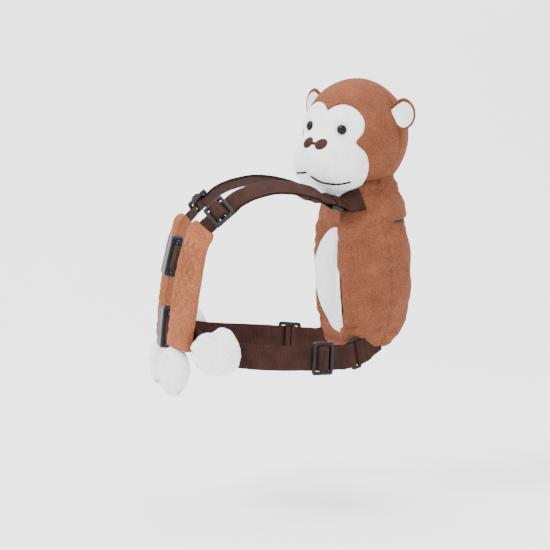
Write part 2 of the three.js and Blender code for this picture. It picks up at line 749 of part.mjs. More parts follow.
// A flat padded sleeve along the shoulder strap from s0 to s1, gathered at its upper end.
function sleeveSolid(route, s0, s1) {
  const shares = [0, 0.015, 0.05, 0.12, 0.22, 0.35, 0.5, 0.65, 0.8, 0.93, 1];
  const rings = shares.map((share) => {
    const s = s0 + share * (s1 - s0);
    const fill = column(sleeveFill, "share", "fill", share);
    const broad = column(sleeveBreadth, "share", "broad", share);
    const ringPoints = [];
    for (let step = 0; step < 18; step++) {
      const turn = (2 * Math.PI * step) / 18;
      const [c, n] = [Math.cos(turn), Math.sin(turn)];
      const side = Math.sign(c) * Math.pow(Math.abs(c), 0.75) * armHalfWidth * broad;
      const reach = n > 0 ? armFront * fill : armBack;
      const depth = Math.sign(n) * Math.pow(Math.abs(n), 0.75) * reach;
      const frame = route.at(s, depth);
      ringPoints.push(frame.place.clone().addScaledVector(frame.across, side));
    }
    return ringPoints;
  });
  return solidOf(loft(rings));
}

const pouchPoints = 32;

// Pouch section at a share of its height, pushed inwards by inset.
function pouchRing(drop, inset) {
  const value = (name) => column(pouchSections, "drop", name, drop);
  const front = value("front") * pouchHalfWidth - inset;
  const rear = value("rear") * pouchHalfWidth - inset;
  const frontY = pouchFront + value("frontY") * pouchDepth + inset;
  const seamY = pouchFront + value("seamY") * pouchDepth - 0.3 * inset;
  const backY = pouchFront + value("backY") * pouchDepth - inset;
  const hollow = pouchHollow * Math.min(1, front / (0.9 * pouchHalfWidth)) ** 2;
  const bulge = (pouchSideBulge * front) / pouchHalfWidth;
  const half = [
    [0.5 * front, frontY + 0.72 * hollow],
    [0.86 * front, frontY + 0.22 * hollow],
    [front, frontY + 3],
    [(front + rear) / 2 + bulge, (frontY + seamY) / 2 + 2],
    [rear, seamY],
    [0.7 * rear, seamY + 0.66 * (backY - seamY)],
    [0.36 * rear, seamY + 0.925 * (backY - seamY)],
  ];
  const around = [
    [0, frontY + hollow],
    ...half,
    [0, backY],
    ...half.toReversed().map(([x, y]) => [-x, y]),
  ];
  const z = pouchTop - drop * pouchHeight + (drop < 0.5 ? -inset : inset);
  const curve = new THREE.CatmullRomCurve3(around.map(([x, y]) => point(x, y, z)), true, "centripetal");
  return Array.from({ length: pouchPoints }, (_, i) => curve.getPoint(i / pouchPoints));
}

function pouchSolid(inset, levels = 16) {
  const rings = Array.from({ length: levels + 1 }, (_, i) => {
    const share = (1 - Math.cos((Math.PI * i) / levels)) / 2;
    return pouchRing(0.35 * share + (0.65 * i) / levels, inset);
  });
  return solidOf(loft(rings));
}

// Band between two heights of the slit's edge, through the whole pouch.
function slitBand(above, below, ease) {
  const edge = slitEdge.map(({ behind, drop }, i) => [
    pouchFront + behind * pouchDepth + (i === 0 ? ease : 0),
    pouchTop - drop * pouchHeight,
  ]);
  const outline = new THREE.Shape(
    [...edge.map(([y, z]) => [y, z + above]), ...edge.toReversed().map(([y, z]) => [y, z - below])].map(
      ([y, z]) => new THREE.Vector2(y, z),
    ),
  );
  const band = new THREE.ExtrudeGeometry(outline, { depth: 4 * pouchHalfWidth, bevelEnabled: false });
  const turn = new THREE.Matrix4().makeBasis(point(0, 1, 0), point(0, 0, 1), point(1, 0, 0));
  return solidOf(band.applyMatrix4(turn).translate(-2 * pouchHalfWidth, 0, 0));
}

// Distance from the head's centre to its surface in a direction, in the head's own frame.
function headReach({ x, y, z }) {
  const skull = 1 / Math.hypot(x / headHalfWidth, y / headHalfWidth, z / headHalfHeight);
  const ray = point(x / muzzleHalfWidth, y / muzzleRadius, z / muzzleRadius);
  const centre = point(0, -muzzleForward / muzzleRadius, -muzzleDrop / muzzleRadius);
  const [a, b, c] = [ray.lengthSq(), ray.dot(centre), centre.lengthSq() - 1];
  const inside = b * b - a * c;
  if (inside <= 0 || b <= 0) return skull;
  const muzzle = (b + Math.sqrt(inside)) / a;
  const share = Math.max(muzzleBlend - Math.abs(skull - muzzle), 0) / muzzleBlend;
  return Math.max(skull, muzzle) + (share * share * muzzleBlend) / 4;
}

function headSolid(offset) {
  const rings = [];
  for (let row = 0; row <= 17; row++) {
    const rise = Math.PI * ((row + 0.35) / 17.7 - 0.5);
    rings.push(
      Array.from({ length: 30 }, (_, i) => {
        const turn = (2 * Math.PI * (i + 0.5)) / 30;
        const level = Math.cos(rise);
        const direction = point(level * Math.cos(turn), level * Math.sin(turn), Math.sin(rise));
        return direction.multiplyScalar(headReach(direction) + offset);
      }),
    );
  }
  return solidOf(loft(rings));
}

const faceRimPoints = 40;

// Everything seen from the head's centre within the edge of the face, turned outwards by ease degrees.
function faceCone(ease) {
  const rim = Array.from({ length: faceRimPoints }, (_, i) => {
    const turn = (360 / faceRimPoints) * i - 90;
    const folded = turn > 90 ? 180 - turn : turn;
    return { turn, reach: column(faceEdge, "turn", "reach", folded) + ease };
  });
  const far = 3 * headHalfHeight;
  const rings = [0.5, 0.8, 1].map((share) =>
    rim.map(({ turn, reach }) => {
      const [t, r] = [radians(turn), radians(share * reach)];
      return point(Math.sin(r) * Math.cos(t), -Math.cos(r), Math.sin(r) * Math.sin(t)).multiplyScalar(far);
    }),
  );
  return solidOf(loft(rings, { start: point(0, -far, 0), end: point(0, 0, 0) }));
}

// Place on the head's front surface at x and z, with its outward direction.
function headFront(x, z) {
  const depthAt = (px, pz) => {
    let [inside, outside] = [0, 3 * headHalfWidth];
    for (let i = 0; i < 40; i++) {
      const middle = (inside + outside) / 2;
      const place = point(px, -middle, pz);
      if (place.length() < headReach(place.clone().normalize())) inside = middle;
      else outside = middle;
    }
    return inside;
  };
  const place = point(x, -depthAt(x, z), z);
  const slopeX = (depthAt(x + 1, z) - depthAt(x - 1, z)) / 2;
  const slopeZ = (depthAt(x, z + 1) - depthAt(x, z - 1)) / 2;
  return { place, outward: point(-slopeX, -1, -slopeZ).normalize() };
}

// Turned piece whose profile is a list of [radius, height] points, closed, along an axis from a place.
function turned(profile, place, axis, segments) {
  const closed = [...profile, profile[0]].map(([r, h]) => new THREE.Vector2(r, h));
  const lathe = new THREE.LatheGeometry(closed, segments);
  const turn = new THREE.Quaternion().setFromUnitVectors(point(0, 1, 0), axis);
  return solidOf(lathe.applyQuaternion(turn).translate(...place.toArray()));
}

const headMatrix = new THREE.Matrix4()
  .makeRotationZ(radians(headTurn))
  .multiply(new THREE.Matrix4().makeRotationY(radians(headRoll)))
  .setPosition(headPlace.x, headPlace.y, headPlace.z);
const skin = headSolid(0);
let face = skin.intersect(faceCone(0)).subtract(headSolid(-faceThickness));
const faceRoom = faceCone(faceSeamTurn).subtract(headSolid(-faceThickness - 1.5 * seatGap));
const head = skin.subtract(faceRoom);

const eyes = [-1, 1].map((side) => {
  const { place, outward } = headFront(side * eyeOut, eyeUp);
  const sunk = place.clone().addScaledVector(outward, -1);
  const dome = [[0, 0]];
  for (let turn = 0; turn <= 90; turn += 22.5) {
    dome.push([eyeRadius * Math.cos(radians(turn)), 1 + (eyeHeight - 1) * Math.sin(radians(turn))]);
  }
  dome[dome.length - 1][0] = 0;
  dome.splice(1, 0, [eyeRadius, 0]);
  const seat = [[0, -seatGap], [eyeRadius + seatGap, -seatGap], [eyeRadius + seatGap, 6], [0, 6]];
  face = face.subtract(turned(seat, sunk, outward, 14));
  return turned(dome, sunk, outward, 14);
});

function noseSolid() {
  const { place } = headFront(0, -noseDrop);
  const outline = [];
  for (let step = 0; step < 28; step++) {
    const turn = (2 * Math.PI * step) / 28;
    const x = noseHalfWidth * Math.cos(turn);
    const lobe = Math.max(0, 1 - ((Math.abs(x) - noseLobeOut) / (noseHalfWidth - noseLobeOut)) ** 2);
    const height = Math.max(noseLobeHeight * Math.sqrt(lobe), Math.abs(x) < noseLobeOut ? noseBridge : 0.3);
    outline.push(new THREE.Vector2(x, Math.sign(Math.sin(turn) || 1) * height));
  }
  const settings = { depth: headHalfHeight, bevelEnabled: false };
  const prism = new THREE.ExtrudeGeometry(new THREE.Shape(outline), settings);
  prism.rotateX(Math.PI / 2).translate(0, place.y + headHalfHeight / 2, place.z);
  return solidOf(prism).intersect(headSolid(seatGap + noseThickness)).subtract(headSolid(seatGap));
}

// Cupped disc of an ear: its rim is ahead of its middle by earCup.
function earDisc(radius, thickness, height, side) {
  const profile = [];
  for (let step = 0; step <= 3; step++) {
    const r = (radius * step) / 3;
    profile.push([r, height + earCup * (r / earRadius) ** 2]);
  }
  profile.push([radius + 0.35 * thickness, height + thickness / 2 + earCup * (radius / earRadius) ** 2]);
  for (let step = 3; step >= 0; step--) {
    const r = (radius * step) / 3;
    profile.push([r, height + thickness + earCup * (r / earRadius) ** 2]);
  }
  const axis = point(side * 0.22, -1, 0).normalize();
  return turned(profile, point(side * earOut, earBack, earUp), axis, 18).subtract(headSolid(seatGap));
}

const headNodes = { head, face, nose: noseSolid(), eye_right: eyes[0], eye_left: eyes[1] };
for (const [name, side] of [["left", 1], ["right", -1]]) {
  headNodes[`ear_${name}_shell`] = earDisc(earRadius, earShellThickness, 0, side);
  const liningHeight = earShellThickness + seatGap;
  headNodes[`ear_${name}_lining`] = earDisc(earRadius - earRim, earLiningThickness, liningHeight, side);
}

// Room that a piece needs in another that holds it: the piece and its copies, moved each way by a gap.
function roomFor(geometry) {
  const solid = solidOf(geometry);
  const move = 1.5 * seatGap;
  const moves = [-move, move].flatMap((d) => [[d, 0, 0], [0, d, 0], [0, 0, d]]);
  return moves.reduce((room, shift) => room.add(solid.translate(shift)), solid);
}

// Room round webbing on a path that it follows in another piece.
function roomAlong(route, path, options) {
  const size = { width: webbingWidth + slotEase, thickness: webbingThickness + 3 * seatGap };
  return solidOf(webbing(route, path, { ...size, ...options }));
}

// The main one of a solid's parts, without slivers that a cut leaves.
function largest(solid) {
  return solid.decompose().reduce((best, part) => (part.volume() > best.volume() ? part : best));
}
const waistStrapRoom = roomFor(strapNodes.waist_strap);
const shoulderSlot = solidOf(
  webbing(shoulderRoute, [[armTopAt - 6, 0], [strapEnd + 1, 0]], {
    width: webbingWidth + slotEase,
    thickness: sleeveSlot,
  }),
);

const armEnd = shoulderRoute.length;
let arm = sleeveSolid(shoulderRoute, armTopAt, armEnd);
arm = arm
  .subtract(shoulderSlot)
  .subtract(roomAlong(chestRoute, [chestPath[0], [-1, 0]], twisted))
  .subtract(waistStrapRoom);
const handSize = [handLength, handWidth, handThickness];
const footSize = [footLength, footWidth, footThickness];
const handHeight = (armFront - armBack) / 2;
let hand = mittenSolid(shoulderRoute, armEnd + 0.45 * handLength, handHeight, ...handSize);
const lastFrame = shoulderRoute.at(armEnd + seatGap);
hand = hand
  .trimByPlane(lastFrame.along.toArray(), lastFrame.along.dot(lastFrame.place))
  .subtract(waistStrapRoom);
const footHeight = webbingThickness / 2 + seatGap + footThickness / 2 - 2;
const footBase = waistRoute.at(footAt);
const footEnds = [-1, 1].map((side) => ({
  place: footBase.place.clone().addScaledVector(footBase.along, (side * footLength) / 2),
  face: footBase.face,
}));
let foot = mittenSolid(makeRoute(footEnds), footLength / 2, footHeight, ...footSize);
foot = foot.subtract(waistStrapRoom);

// Pouch with its cavity, zipped slit, tab seats and the hollow that the head sits in
const outer = pouchSolid(0);
const level = (low, high) =>
  boxSolid(point(-2 * pouchHalfWidth, 0, low), point(2 * pouchHalfWidth, 3 * pouchDepth, high));
const cavity = pouchSolid(pouchWall, 13).intersect(level(cavityBottom, cavityTop));
const slitShell = pouchSolid(-zipperRecess).subtract(pouchSolid(slitDepth));
const headRoom = solidOf(geometryOf(headSolid(seatGap)).applyMatrix4(headMatrix));
const tabRooms = [shoulderRoute, waistRoute].map((route) => {
  const middle = layerStep / 2;
  const thickness = layerStep + webbingThickness + 3 * seatGap;
  const path = [[-1, middle], [route.ringAt - ringBarOffset + 3, middle]];
  return solidOf(webbing(route, path, { ...twisted, width: webbingWidth + slotEase, thickness }));
});
let body = outer.subtract(cavity).subtract(headRoom);
body = body.subtract(slitBand(0, slitHeight, 0).intersect(slitShell));
for (const room of tabRooms) body = body.subtract(room).subtract(room.mirror([1, 0, 0]));
const zipperShell = pouchSolid(zipperRecess).subtract(pouchSolid(zipperRecess + zipperThickness));
const zipper = zipperShell
  .intersect(slitBand(-1.4 * seatGap, slitHeight - 1.4 * seatGap, 1.4 * seatGap))
  .subtract(headRoom);

// Padded panel that follows the pouch's hollow front
function bellySolid() {
  const rings = [];
  for (const [skinSide, shares] of [[-1, [0.05, 0.5, 0.78, 0.93, 1]], [1, [0.9, 0.5, 0.05]]]) {
    for (const share of shares) {
      rings.push(
        Array.from({ length: 26 }, (_, i) => {
          const turn = (2 * Math.PI * i) / 26;
          const x = bellyHalfWidth * share * Math.cos(turn);
          const z = -bellyDrop + bellyHalfHeight * share * Math.sin(turn);
          const seat = pouchFront + pouchHollow * (1 - (x / pouchHalfWidth) ** 2);
          const puff = Math.sqrt(1 - share ** 4);
          return point(x, seat + (skinSide < 0 ? -bellyThickness * puff : 6 * puff), z);
        }),
      );
    }
  }
  return solidOf(loft(rings)).subtract(pouchSolid(-1.6 * seatGap));
}

// Assembly
const materials = {
  brown_plush: new THREE.MeshStandardMaterial({ color: 0x6b4433, roughness: 0.95 }),
  white_plush: new THREE.MeshStandardMaterial({ color: 0xe8e2d8, roughness: 0.95 }),
  webbing: new THREE.MeshStandardMaterial({ color: 0x432b25, roughness: 0.85 }),
  black_plastic: new THREE.MeshStandardMaterial({ color: 0x16161a, roughness: 0.4 }),
  eye_gloss: new THREE.MeshStandardMaterial({ color: 0x050506, roughness: 0.12 }),
  nose_fabric: new THREE.MeshStandardMaterial({ color: 0x3a2420, roughness: 0.7 }),
};
const monkey = new THREE.Group();
monkey.name = "toddler_harness_backpack";

function addPiece(name, geometry, slot) {
  const finished = geometry.index ? geometry.toNonIndexed() : geometry.clone();
  finished.deleteAttribute("normal");
  finished.deleteAttribute("uv");
  const clean = mergeVertices(finished, 1e-3);
  clean.computeVertexNormals();
  const material = materials[slot].clone();
  material.name = slot;
  const mesh = new THREE.Mesh(clean, material);
  mesh.name = name;
  monkey.add(mesh);
}

function mirrored(geometry) {
  const copy = geometry.clone().scale(-1, 1, 1);
  const flipped = copy.index ? copy : mergeVertices(copy);
  return flipped.setIndex(Array.from(flipped.index.array).reverse());
}

const headSlots = {
  head: "brown_plush",
  nose: "nose_fabric",
  eye_left: "eye_gloss",
  eye_right: "eye_gloss",
};
for (const [name, solid] of Object.entries(headNodes)) {
  const slot = headSlots[name] ?? (name.endsWith("shell") ? "brown_plush" : "white_plush");
  addPiece(name, geometryOf(solid).applyMatrix4(headMatrix), slot);
}
addPiece("body", geometryOf(largest(body)), "brown_plush");
addPiece("belly", geometryOf(bellySolid()), "white_plush");
addPiece("zipper", geometryOf(zipper), "black_plastic");

const pairs = {
  ...Object.fromEntries(
    Object.entries(strapNodes).map(([name, geometry]) => [name, { geometry, slot: "webbing" }]),
  ),
  arm: { geometry: geometryOf(largest(arm)), slot: "brown_plush" },
  hand: { geometry: geometryOf(hand), slot: "white_plush" },
  foot: { geometry: geometryOf(foot), slot: "white_plush" },
};
for (const [name, { geometry, slot }] of Object.entries(pairs)) {
  const finish = /ring|adjuster/.test(name) ? "black_plastic" : slot;
  addPiece(`${name}_left`, geometry, finish);
  addPiece(`${name}_right`, mirrored(geometry), finish);
}
for (const [place, matrix] of [["chest", chestBuckleMatrix], ["waist", waistBuckleMatrix]]) {
  addPiece(`${place}_buckle_female`, female.clone().applyMatrix4(matrix), "black_plastic");
  addPiece(`${place}_buckle_male`, male.clone().applyMatrix4(matrix), "black_plastic");
}

export default monkey;
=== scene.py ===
"""Visual model of a plush harness backpack in its worn form.

The pieces are surfaces worked out as whole numpy arrays, in millimetres, and stored in metres.
The wearer faces -Y, +X is the wearer's left, and the origin lies between the shoulder straps' crests.
"""

import math

import bmesh
import bpy
import numpy as np
from bpy.props import FloatProperty, FloatVectorProperty, PointerProperty
from mathutils import Matrix, Vector


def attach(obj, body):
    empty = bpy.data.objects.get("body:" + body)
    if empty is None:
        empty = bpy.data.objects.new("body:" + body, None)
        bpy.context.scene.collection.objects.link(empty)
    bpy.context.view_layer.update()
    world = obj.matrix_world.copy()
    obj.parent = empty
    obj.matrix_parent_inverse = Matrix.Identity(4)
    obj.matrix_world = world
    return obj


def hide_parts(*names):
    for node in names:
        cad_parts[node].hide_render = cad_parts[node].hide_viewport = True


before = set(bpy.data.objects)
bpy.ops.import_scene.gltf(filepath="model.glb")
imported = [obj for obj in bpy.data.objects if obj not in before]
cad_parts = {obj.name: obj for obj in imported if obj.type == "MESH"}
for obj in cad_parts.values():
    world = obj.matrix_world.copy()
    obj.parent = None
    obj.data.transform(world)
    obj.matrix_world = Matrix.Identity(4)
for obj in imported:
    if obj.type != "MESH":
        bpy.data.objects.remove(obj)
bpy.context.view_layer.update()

bl_info = {
    "name": "Plush harness backpack",
    "version": (1, 0, 0),
    "blender": (4, 5, 0),
    "location": "3D View > Sidebar > Harness backpack",
    "description": "Builds a worn plush harness backpack, piece by piece",
    "category": "Object",
}

MM = 0.001


def size(name, default, description):
    """A length property in metres, from its default in millimetres."""
    return FloatProperty(name=name, description=description, default=default * MM, unit="LENGTH")


def colour(name, default, description):
    """A linear colour property."""
    return FloatVectorProperty(
        name=name, description=description, default=default, subtype="COLOR", size=3, min=0.0, max=1.0
    )


class HarnessSizes(bpy.types.PropertyGroup):
    """Sizes that a user of the model would change."""

    webbing_width: size("Webbing width", 25.0, "Width of every strap")
    webbing_thickness: size("Webbing thickness", 1.5, "Thickness of every strap")
    rib_pitch: size("Rib pitch", 1.45, "Distance between the webbing's cross ribs")
    rib_height: size("Rib height", 0.13, "Height of the webbing's cross ribs")
    pile_size: size("Pile size", 1.7, "Width of one loop of the terry pile")
    pile_height: size("Pile height", 0.55, "Height of the terry pile's loops")
    seam_depth: size("Seam depth", 1.6, "Depth of the sewn seams in the plush")
    seam_width: size("Seam width", 2.2, "Half width of the sewn seams in the plush")
    thread_radius: size("Thread radius", 0.33, "Radius of the sewing thread")
    eye_radius: size("Eye radius", 5.0, "Radius of the domed eyes")
    hardware_bevel: size("Hardware bevel", 0.7, "Rounding of the plastic parts' edges")


class HarnessColours(bpy.types.PropertyGroup):
    """Colours that a user of the model would change."""

    brown_plush: colour("Brown plush", (0.172, 0.059, 0.029), "Body, head and ears")
    sleeve_plush: colour("Sleeve plush", (0.279, 0.094, 0.043), "Longer, lighter pile of the arms")
    white_plush: colour("White plush", (0.93, 0.93, 0.95), "Face, ears' linings, hands, feet and belly")
    webbing: colour("Webbing", (0.028, 0.0115, 0.0082), "Straps")
    plastic: colour("Plastic", (0.006, 0.006, 0.007), "Buckles, adjusters and rings")
    nose: colour("Nose", (0.038, 0.012, 0.007), "Embroidered nose")
    mouth: colour("Mouth", (0.020, 0.006, 0.004), "Embroidered mouth")
    eye: colour("Eye", (0.004, 0.004, 0.005), "Glossy eyes")
    zip_tape: colour("Zip tape", (0.035, 0.014, 0.010), "Tape and teeth of the zip")


def sizes():
    """The sizes that the panel shows."""
    return bpy.context.scene.harness_sizes


def colours():
    """The colours that the panel shows."""
    return bpy.context.scene.harness_colours


def mm(name):
    """A size property in millimetres."""
    return getattr(sizes(), name) / MM


# Shapes shared by several pieces


def smooth_value(keys, values, x):
    """Smooth curve through values at keys: a cubic on each span, with the slope at a key taken from
    its two neighbours."""
    keys = np.asarray(keys, float)
    values = np.asarray(values, float)
    flat = values.ndim == 1
    if flat:
        values = values[:, None]
    x = np.atleast_1d(np.asarray(x, float))
    last = len(keys) - 1
    before = np.maximum(np.arange(last + 1) - 1, 0)
    after = np.minimum(np.arange(last + 1) + 1, last)
    slope = (values[after] - values[before]) / (keys[after] - keys[before])[:, None]
    i = np.clip(np.searchsorted(keys, x, side="left") - 1, 0, last - 1)
    span = (keys[i + 1] - keys[i])[:, None]
    t = np.clip((x[:, None] - keys[i][:, None]) / span, 0, 1)
    result = (
        (2 * t**3 - 3 * t**2 + 1) * values[i]
        + (t**3 - 2 * t**2 + t) * span * slope[i]
        + (3 * t**2 - 2 * t**3) * values[i + 1]
        + (t**3 - t**2) * span * slope[i + 1]
    )
    return result[:, 0] if flat else result


def turns(count):
    """Even angles round one turn."""
    return 2 * np.pi * np.arange(count) / count


def travelled(line):
    """Distance along a line to each of its places."""
    return np.concatenate([[0], np.cumsum(np.linalg.norm(np.diff(line, axis=0), axis=1))])


def read_off(at, keys, values):
    """Each column of values at given places between its keys, along straight lines."""
    return np.stack([np.interp(at, keys, column) for column in values.T], -1)


def unit(v):
    """Vectors over their lengths."""
    return v / np.maximum(np.linalg.norm(v, axis=-1, keepdims=True), 1e-9)


def smooth_step(low, high, x):
    """0 below low, 1 above high, and 3t² - 2t³ between."""
    t = np.clip((x - low) / (high - low), 0, 1)
    return t * t * (3 - 2 * t)


def ridge(distance, width):
    """Bell curve exp(-(d/w)²)."""
    return np.exp(-((distance / width) ** 2))


def lattice(ix, iy, iz, seed):
    """A fixed pseudo-random number from -1 to 1 for each whole-number place, from integer mixing."""
    h = (ix * 374761393 + iy * 668265263 + iz * 2147483647 + seed * 1274126177) & 0xFFFFFFFF
    h = ((h ^ (h >> 13)) * 1274126177) & 0xFFFFFFFF
    return ((h ^ (h >> 16)) & 0xFFFF) / 32767.5 - 1


def bumps(points, scale, seed=0):
    """Smooth noise: random numbers at the corners of cubes of the given size, blended by 3t² - 2t³."""
    q = points / scale
    cell = np.floor(q).astype(np.int64)
    f = q - cell
    f = f * f * (3 - 2 * f)
    total = 0
    for dx in (0, 1):
        for dy in (0, 1):
            for dz in (0, 1):
                corner = np.array([dx, dy, dz])
                weight = np.prod(np.abs(1 - corner - f), axis=-1)
                total = total + weight * lattice(*np.moveaxis(cell + corner, -1, 0), seed)
    return total


def pile(points, seed=0):
    """Height of terry pile in millimetres: two scales of smooth noise, the finer one half as high."""
    loop = mm("pile_size")
    height = 0.65 * bumps(points, loop, seed) + 0.35 * bumps(points, 0.55 * loop, seed + 7)
    return mm("pile_height") * 0.5 * height


def grid_faces(rows, columns, around=True):
    """Quads that join a grid of rows by columns, closed round its columns unless around is false."""
    r, c = np.meshgrid(np.arange(rows - 1), np.arange(columns if around else columns - 1), indexing="ij")
    here, after = r * columns + c, r * columns + (c + 1) % columns
    return np.stack([here, after, after + columns, here + columns], -1).reshape(-1, 4)


def grid_normals(grid):
    """Unit normals of a grid closed round its columns, from its two central differences' product."""
    return unit(np.cross(np.roll(grid, -1, 1) - np.roll(grid, 1, 1), np.gradient(grid, axis=0)))


def build_mesh(name, points, quads, caps=(), uv=None):
    """A mesh object from points in millimetres, quads, and caps, each a ring of point numbers."""
    faces = [tuple(q) for q in np.asarray(quads).tolist()] + [tuple(c) for c in caps]
    mesh = bpy.data.meshes.new(name)
    mesh.from_pydata((np.asarray(points).reshape(-1, 3) * MM).tolist(), [], faces)
    if uv is not None:
        layer = mesh.uv_layers.new(name="surface")
        loops = np.empty(len(mesh.loops), np.int32)
        mesh.loops.foreach_get("vertex_index", loops)
        layer.data.foreach_set("uv", np.asarray(uv, float).reshape(-1, 2)[loops].ravel())
    mesh.polygons.foreach_set("use_smooth", [True] * len(mesh.polygons))
    mesh.update()
    piece = new_object(name, mesh)
    face_out(piece)
    return piece


def new_object(name, data):
    """An object with that data, in the scene's collection."""
    made = bpy.data.objects.new(name, data)
    bpy.context.scene.collection.objects.link(made)
    return made


def evaluated(piece):
    """A piece as its modifiers leave it."""
    return piece.evaluated_get(bpy.context.evaluated_depsgraph_get())


def face_out(piece):
    """Turns the faces round where the closed surface's signed volume is negative."""
    mesh = piece.data
    mesh.calc_loop_triangles()
    tris = np.empty(len(mesh.loop_triangles) * 3, np.int32)
    mesh.loop_triangles.foreach_get("vertices", tris)
    co = np.empty(len(mesh.vertices) * 3)
    mesh.vertices.foreach_get("co", co)
    a, b, c = co.reshape(-1, 3)[tris.reshape(-1, 3)].transpose(1, 0, 2)
    if np.einsum("ij,ij->i", a, np.cross(b, c)).sum() < 0:
        mesh.flip_normals()


def end_caps(rows, columns):
    """Rings of point numbers that close a grid over its first and last rows."""
    first = list(range(columns))[::-1]
    return [first, [(rows - 1) * columns + i for i in range(columns)]]


def closed_grid(name, grid, uv=None):
    """A grid closed round its columns, with a flat cap over its first and last rows."""
    rows, columns = grid.shape[:2]
    return build_mesh(name, grid, grid_faces(rows, columns), end_caps(rows, columns), uv=uv)


def mirrored(points):
    """Points moved to the other side of the wearer's middle."""
    return points * np.array([-1.0, 1.0, 1.0])


def both_hands(points):
    """Points on the wearer's left and their mirror image, each with its side's name."""
    return ("left", points), ("right", mirrored(points))


def dress(piece, material, slot, *nodes):
    """Gives a piece its material, lets it ride on the root, and hides the nodes it stands for; its slot is
    not used.
    """
    piece.data.materials.clear()
    piece.data.materials.append(material)
    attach(piece, "root")
    if nodes:
        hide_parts(*nodes)


def stuff(piece, material, slot, fill, *nodes):
    dress(piece, material, slot, *nodes)


# Materials


class Nodes:
    """Short calls for making one material's nodes and links."""

    def __init__(self, name):
        self.material = bpy.data.materials.get(name) or bpy.data.materials.new(name)
        self.material.use_nodes = True
        self.tree = self.material.node_tree
        self.tree.nodes.clear()
        self.output = self.add("ShaderNodeOutputMaterial")
        self.shader = self.add("ShaderNodeBsdfPrincipled")
        self.link(self.shader.outputs["BSDF"], self.output.inputs["Surface"])
        self.place = self.add("ShaderNodeTexCoord").outputs["Object"]

    def add(self, kind, **settings):
        node = self.tree.nodes.new(kind)
        for key, value in settings.items():
            setattr(node, key, value)
        return node

    def link(self, source, target):
        self.tree.links.new(source, target)

    def input(self, name):
        return self.shader.inputs[name]

    def set(self, **values):
        for key, value in values.items():
            self.shader.inputs[key.replace("_", " ")].default_value = value

    def noise(self, scale, detail=2.0, roughness=0.5):
        node = self.add("ShaderNodeTexNoise")
        node.inputs["Scale"].default_value = scale
        node.inputs["Detail"].default_value = detail
        node.inputs["Roughness"].default_value = roughness
        self.link(self.place, node.inputs["Vector"])
        return node.outputs["Fac"]

    def cells(self, scale):
        node = self.add("ShaderNodeTexVoronoi")
        node.inputs["Scale"].default_value = scale
        self.link(self.place, node.inputs["Vector"])
        return node.outputs["Distance"]

    def math(self, operation, a, b=None):
        node = self.add("ShaderNodeMath", operation=operation)
        for socket, value in zip(node.inputs, (a, b)):
            if isinstance(value, (int, float)):
                socket.default_value = value
            elif value is not None:
                self.link(value, socket)
        return node.outputs[0]

    def ramp(self, factor, *stops):
        node = self.add("ShaderNodeValToRGB")
        elements = node.color_ramp.elements
        while len(elements) > 1:
            elements.remove(elements[0])
        for i, (position, shade) in enumerate(stops):
            element = elements[0] if i == 0 else elements.new(position)
            element.position = position
            element.color = (*shade, 1.0)
        self.link(factor, node.inputs["Fac"])
        return node.outputs["Color"]

    def bump(self, height, strength, distance):
        node = self.add("ShaderNodeBump")
        node.inputs["Strength"].default_value = strength
        node.inputs["Distance"].default_value = distance
        self.link(height, node.inputs["Height"])
        return node.outputs["Normal"]


def shade(base, factor):
    """A colour times a factor."""
    return tuple(min(1.0, c * factor) for c in base)


def plush_material(name, base, depth):
    """Terry cloth: small cells for the pile's loops, mottled by finer fibres and soft patches, with
    painted shade darkening the crevices between the loops.
    """
    n = Nodes(name)
    loops = n.cells(620.0)
    fibres = n.noise(760.0, 4.0, 0.75)
    patches = n.noise(45.0, 3.0)
    tone = n.math("ADD", n.math("MULTIPLY", fibres, 0.75), n.math("MULTIPLY", patches, 0.25))
    # painted shade: the cells' edges, the crevices between the pile's loops, are darkened in the colour
    tone = n.math("SUBTRACT", tone, n.math("MULTIPLY", loops, 0.1))
    dark, light = shade(base, 1 - depth), shade(base, 1 + 1.3 * depth)
    n.link(n.ramp(tone, (0.32, dark), (0.46, base), (0.62, light)), n.input("Base Color"))
    height = n.math("ADD", n.math("SUBTRACT", 1.0, loops), n.math("MULTIPLY", fibres, 0.5))
    n.link(n.bump(height, 0.8, 0.001), n.input("Normal"))
    n.set(Roughness=0.95, Specular_IOR_Level=0.12)
    n.set(Sheen_Weight=0.25, Sheen_Roughness=0.5, Sheen_Tint=(*shade(base, 1.6), 1.0))
    return n.material


def webbing_material(name, base):
    """Woven webbing on its own UV map, with u along the strap and v across it, in millimetres: ribs
    across the strap, crossed by fine yarns, with painted shade in the weave's low places and painted light
    on its raised ribs."""
    n = Nodes(name)
    uv = n.add("ShaderNodeUVMap", uv_map="surface").outputs["UV"]
    split = n.add("ShaderNodeSeparateXYZ")
    n.link(uv, split.inputs[0])
    u, v = split.outputs["X"], split.outputs["Y"]
    ribs = n.math("SINE", n.math("MULTIPLY", u, 2 * math.pi / mm("rib_pitch")))
    yarns = n.math("SINE", n.math("MULTIPLY", v, 2 * math.pi / 1.25))
    weave = n.math("MULTIPLY", ribs, yarns)
    fibres = n.noise(1800.0, 2.0)
    patches = n.noise(70.0, 3.0)
    height = n.math("ADD", n.math("MULTIPLY", ribs, 0.35), n.math("MULTIPLY", weave, 0.4))
    # painted shade and light: the weave's height darkens its low places and lightens its raised ribs;
    # fibres and patches add random tone
    tone = n.math("ADD", n.math("MULTIPLY", height, 0.28), n.math("MULTIPLY", fibres, 0.5))
    tone = n.math("ADD", tone, n.math("MULTIPLY", patches, 0.4))
    dark, light = shade(base, 0.3), shade(base, 2.6)
    n.link(n.ramp(tone, (0.2, dark), (0.45, base), (0.8, light)), n.input("Base Color"))
    height = n.math("ADD", height, n.math("MULTIPLY", fibres, 0.4))
    n.link(n.bump(height, 0.5, 0.0003), n.input("Normal"))
    n.set(Roughness=0.8, Specular_IOR_Level=0.1)
    return n.material


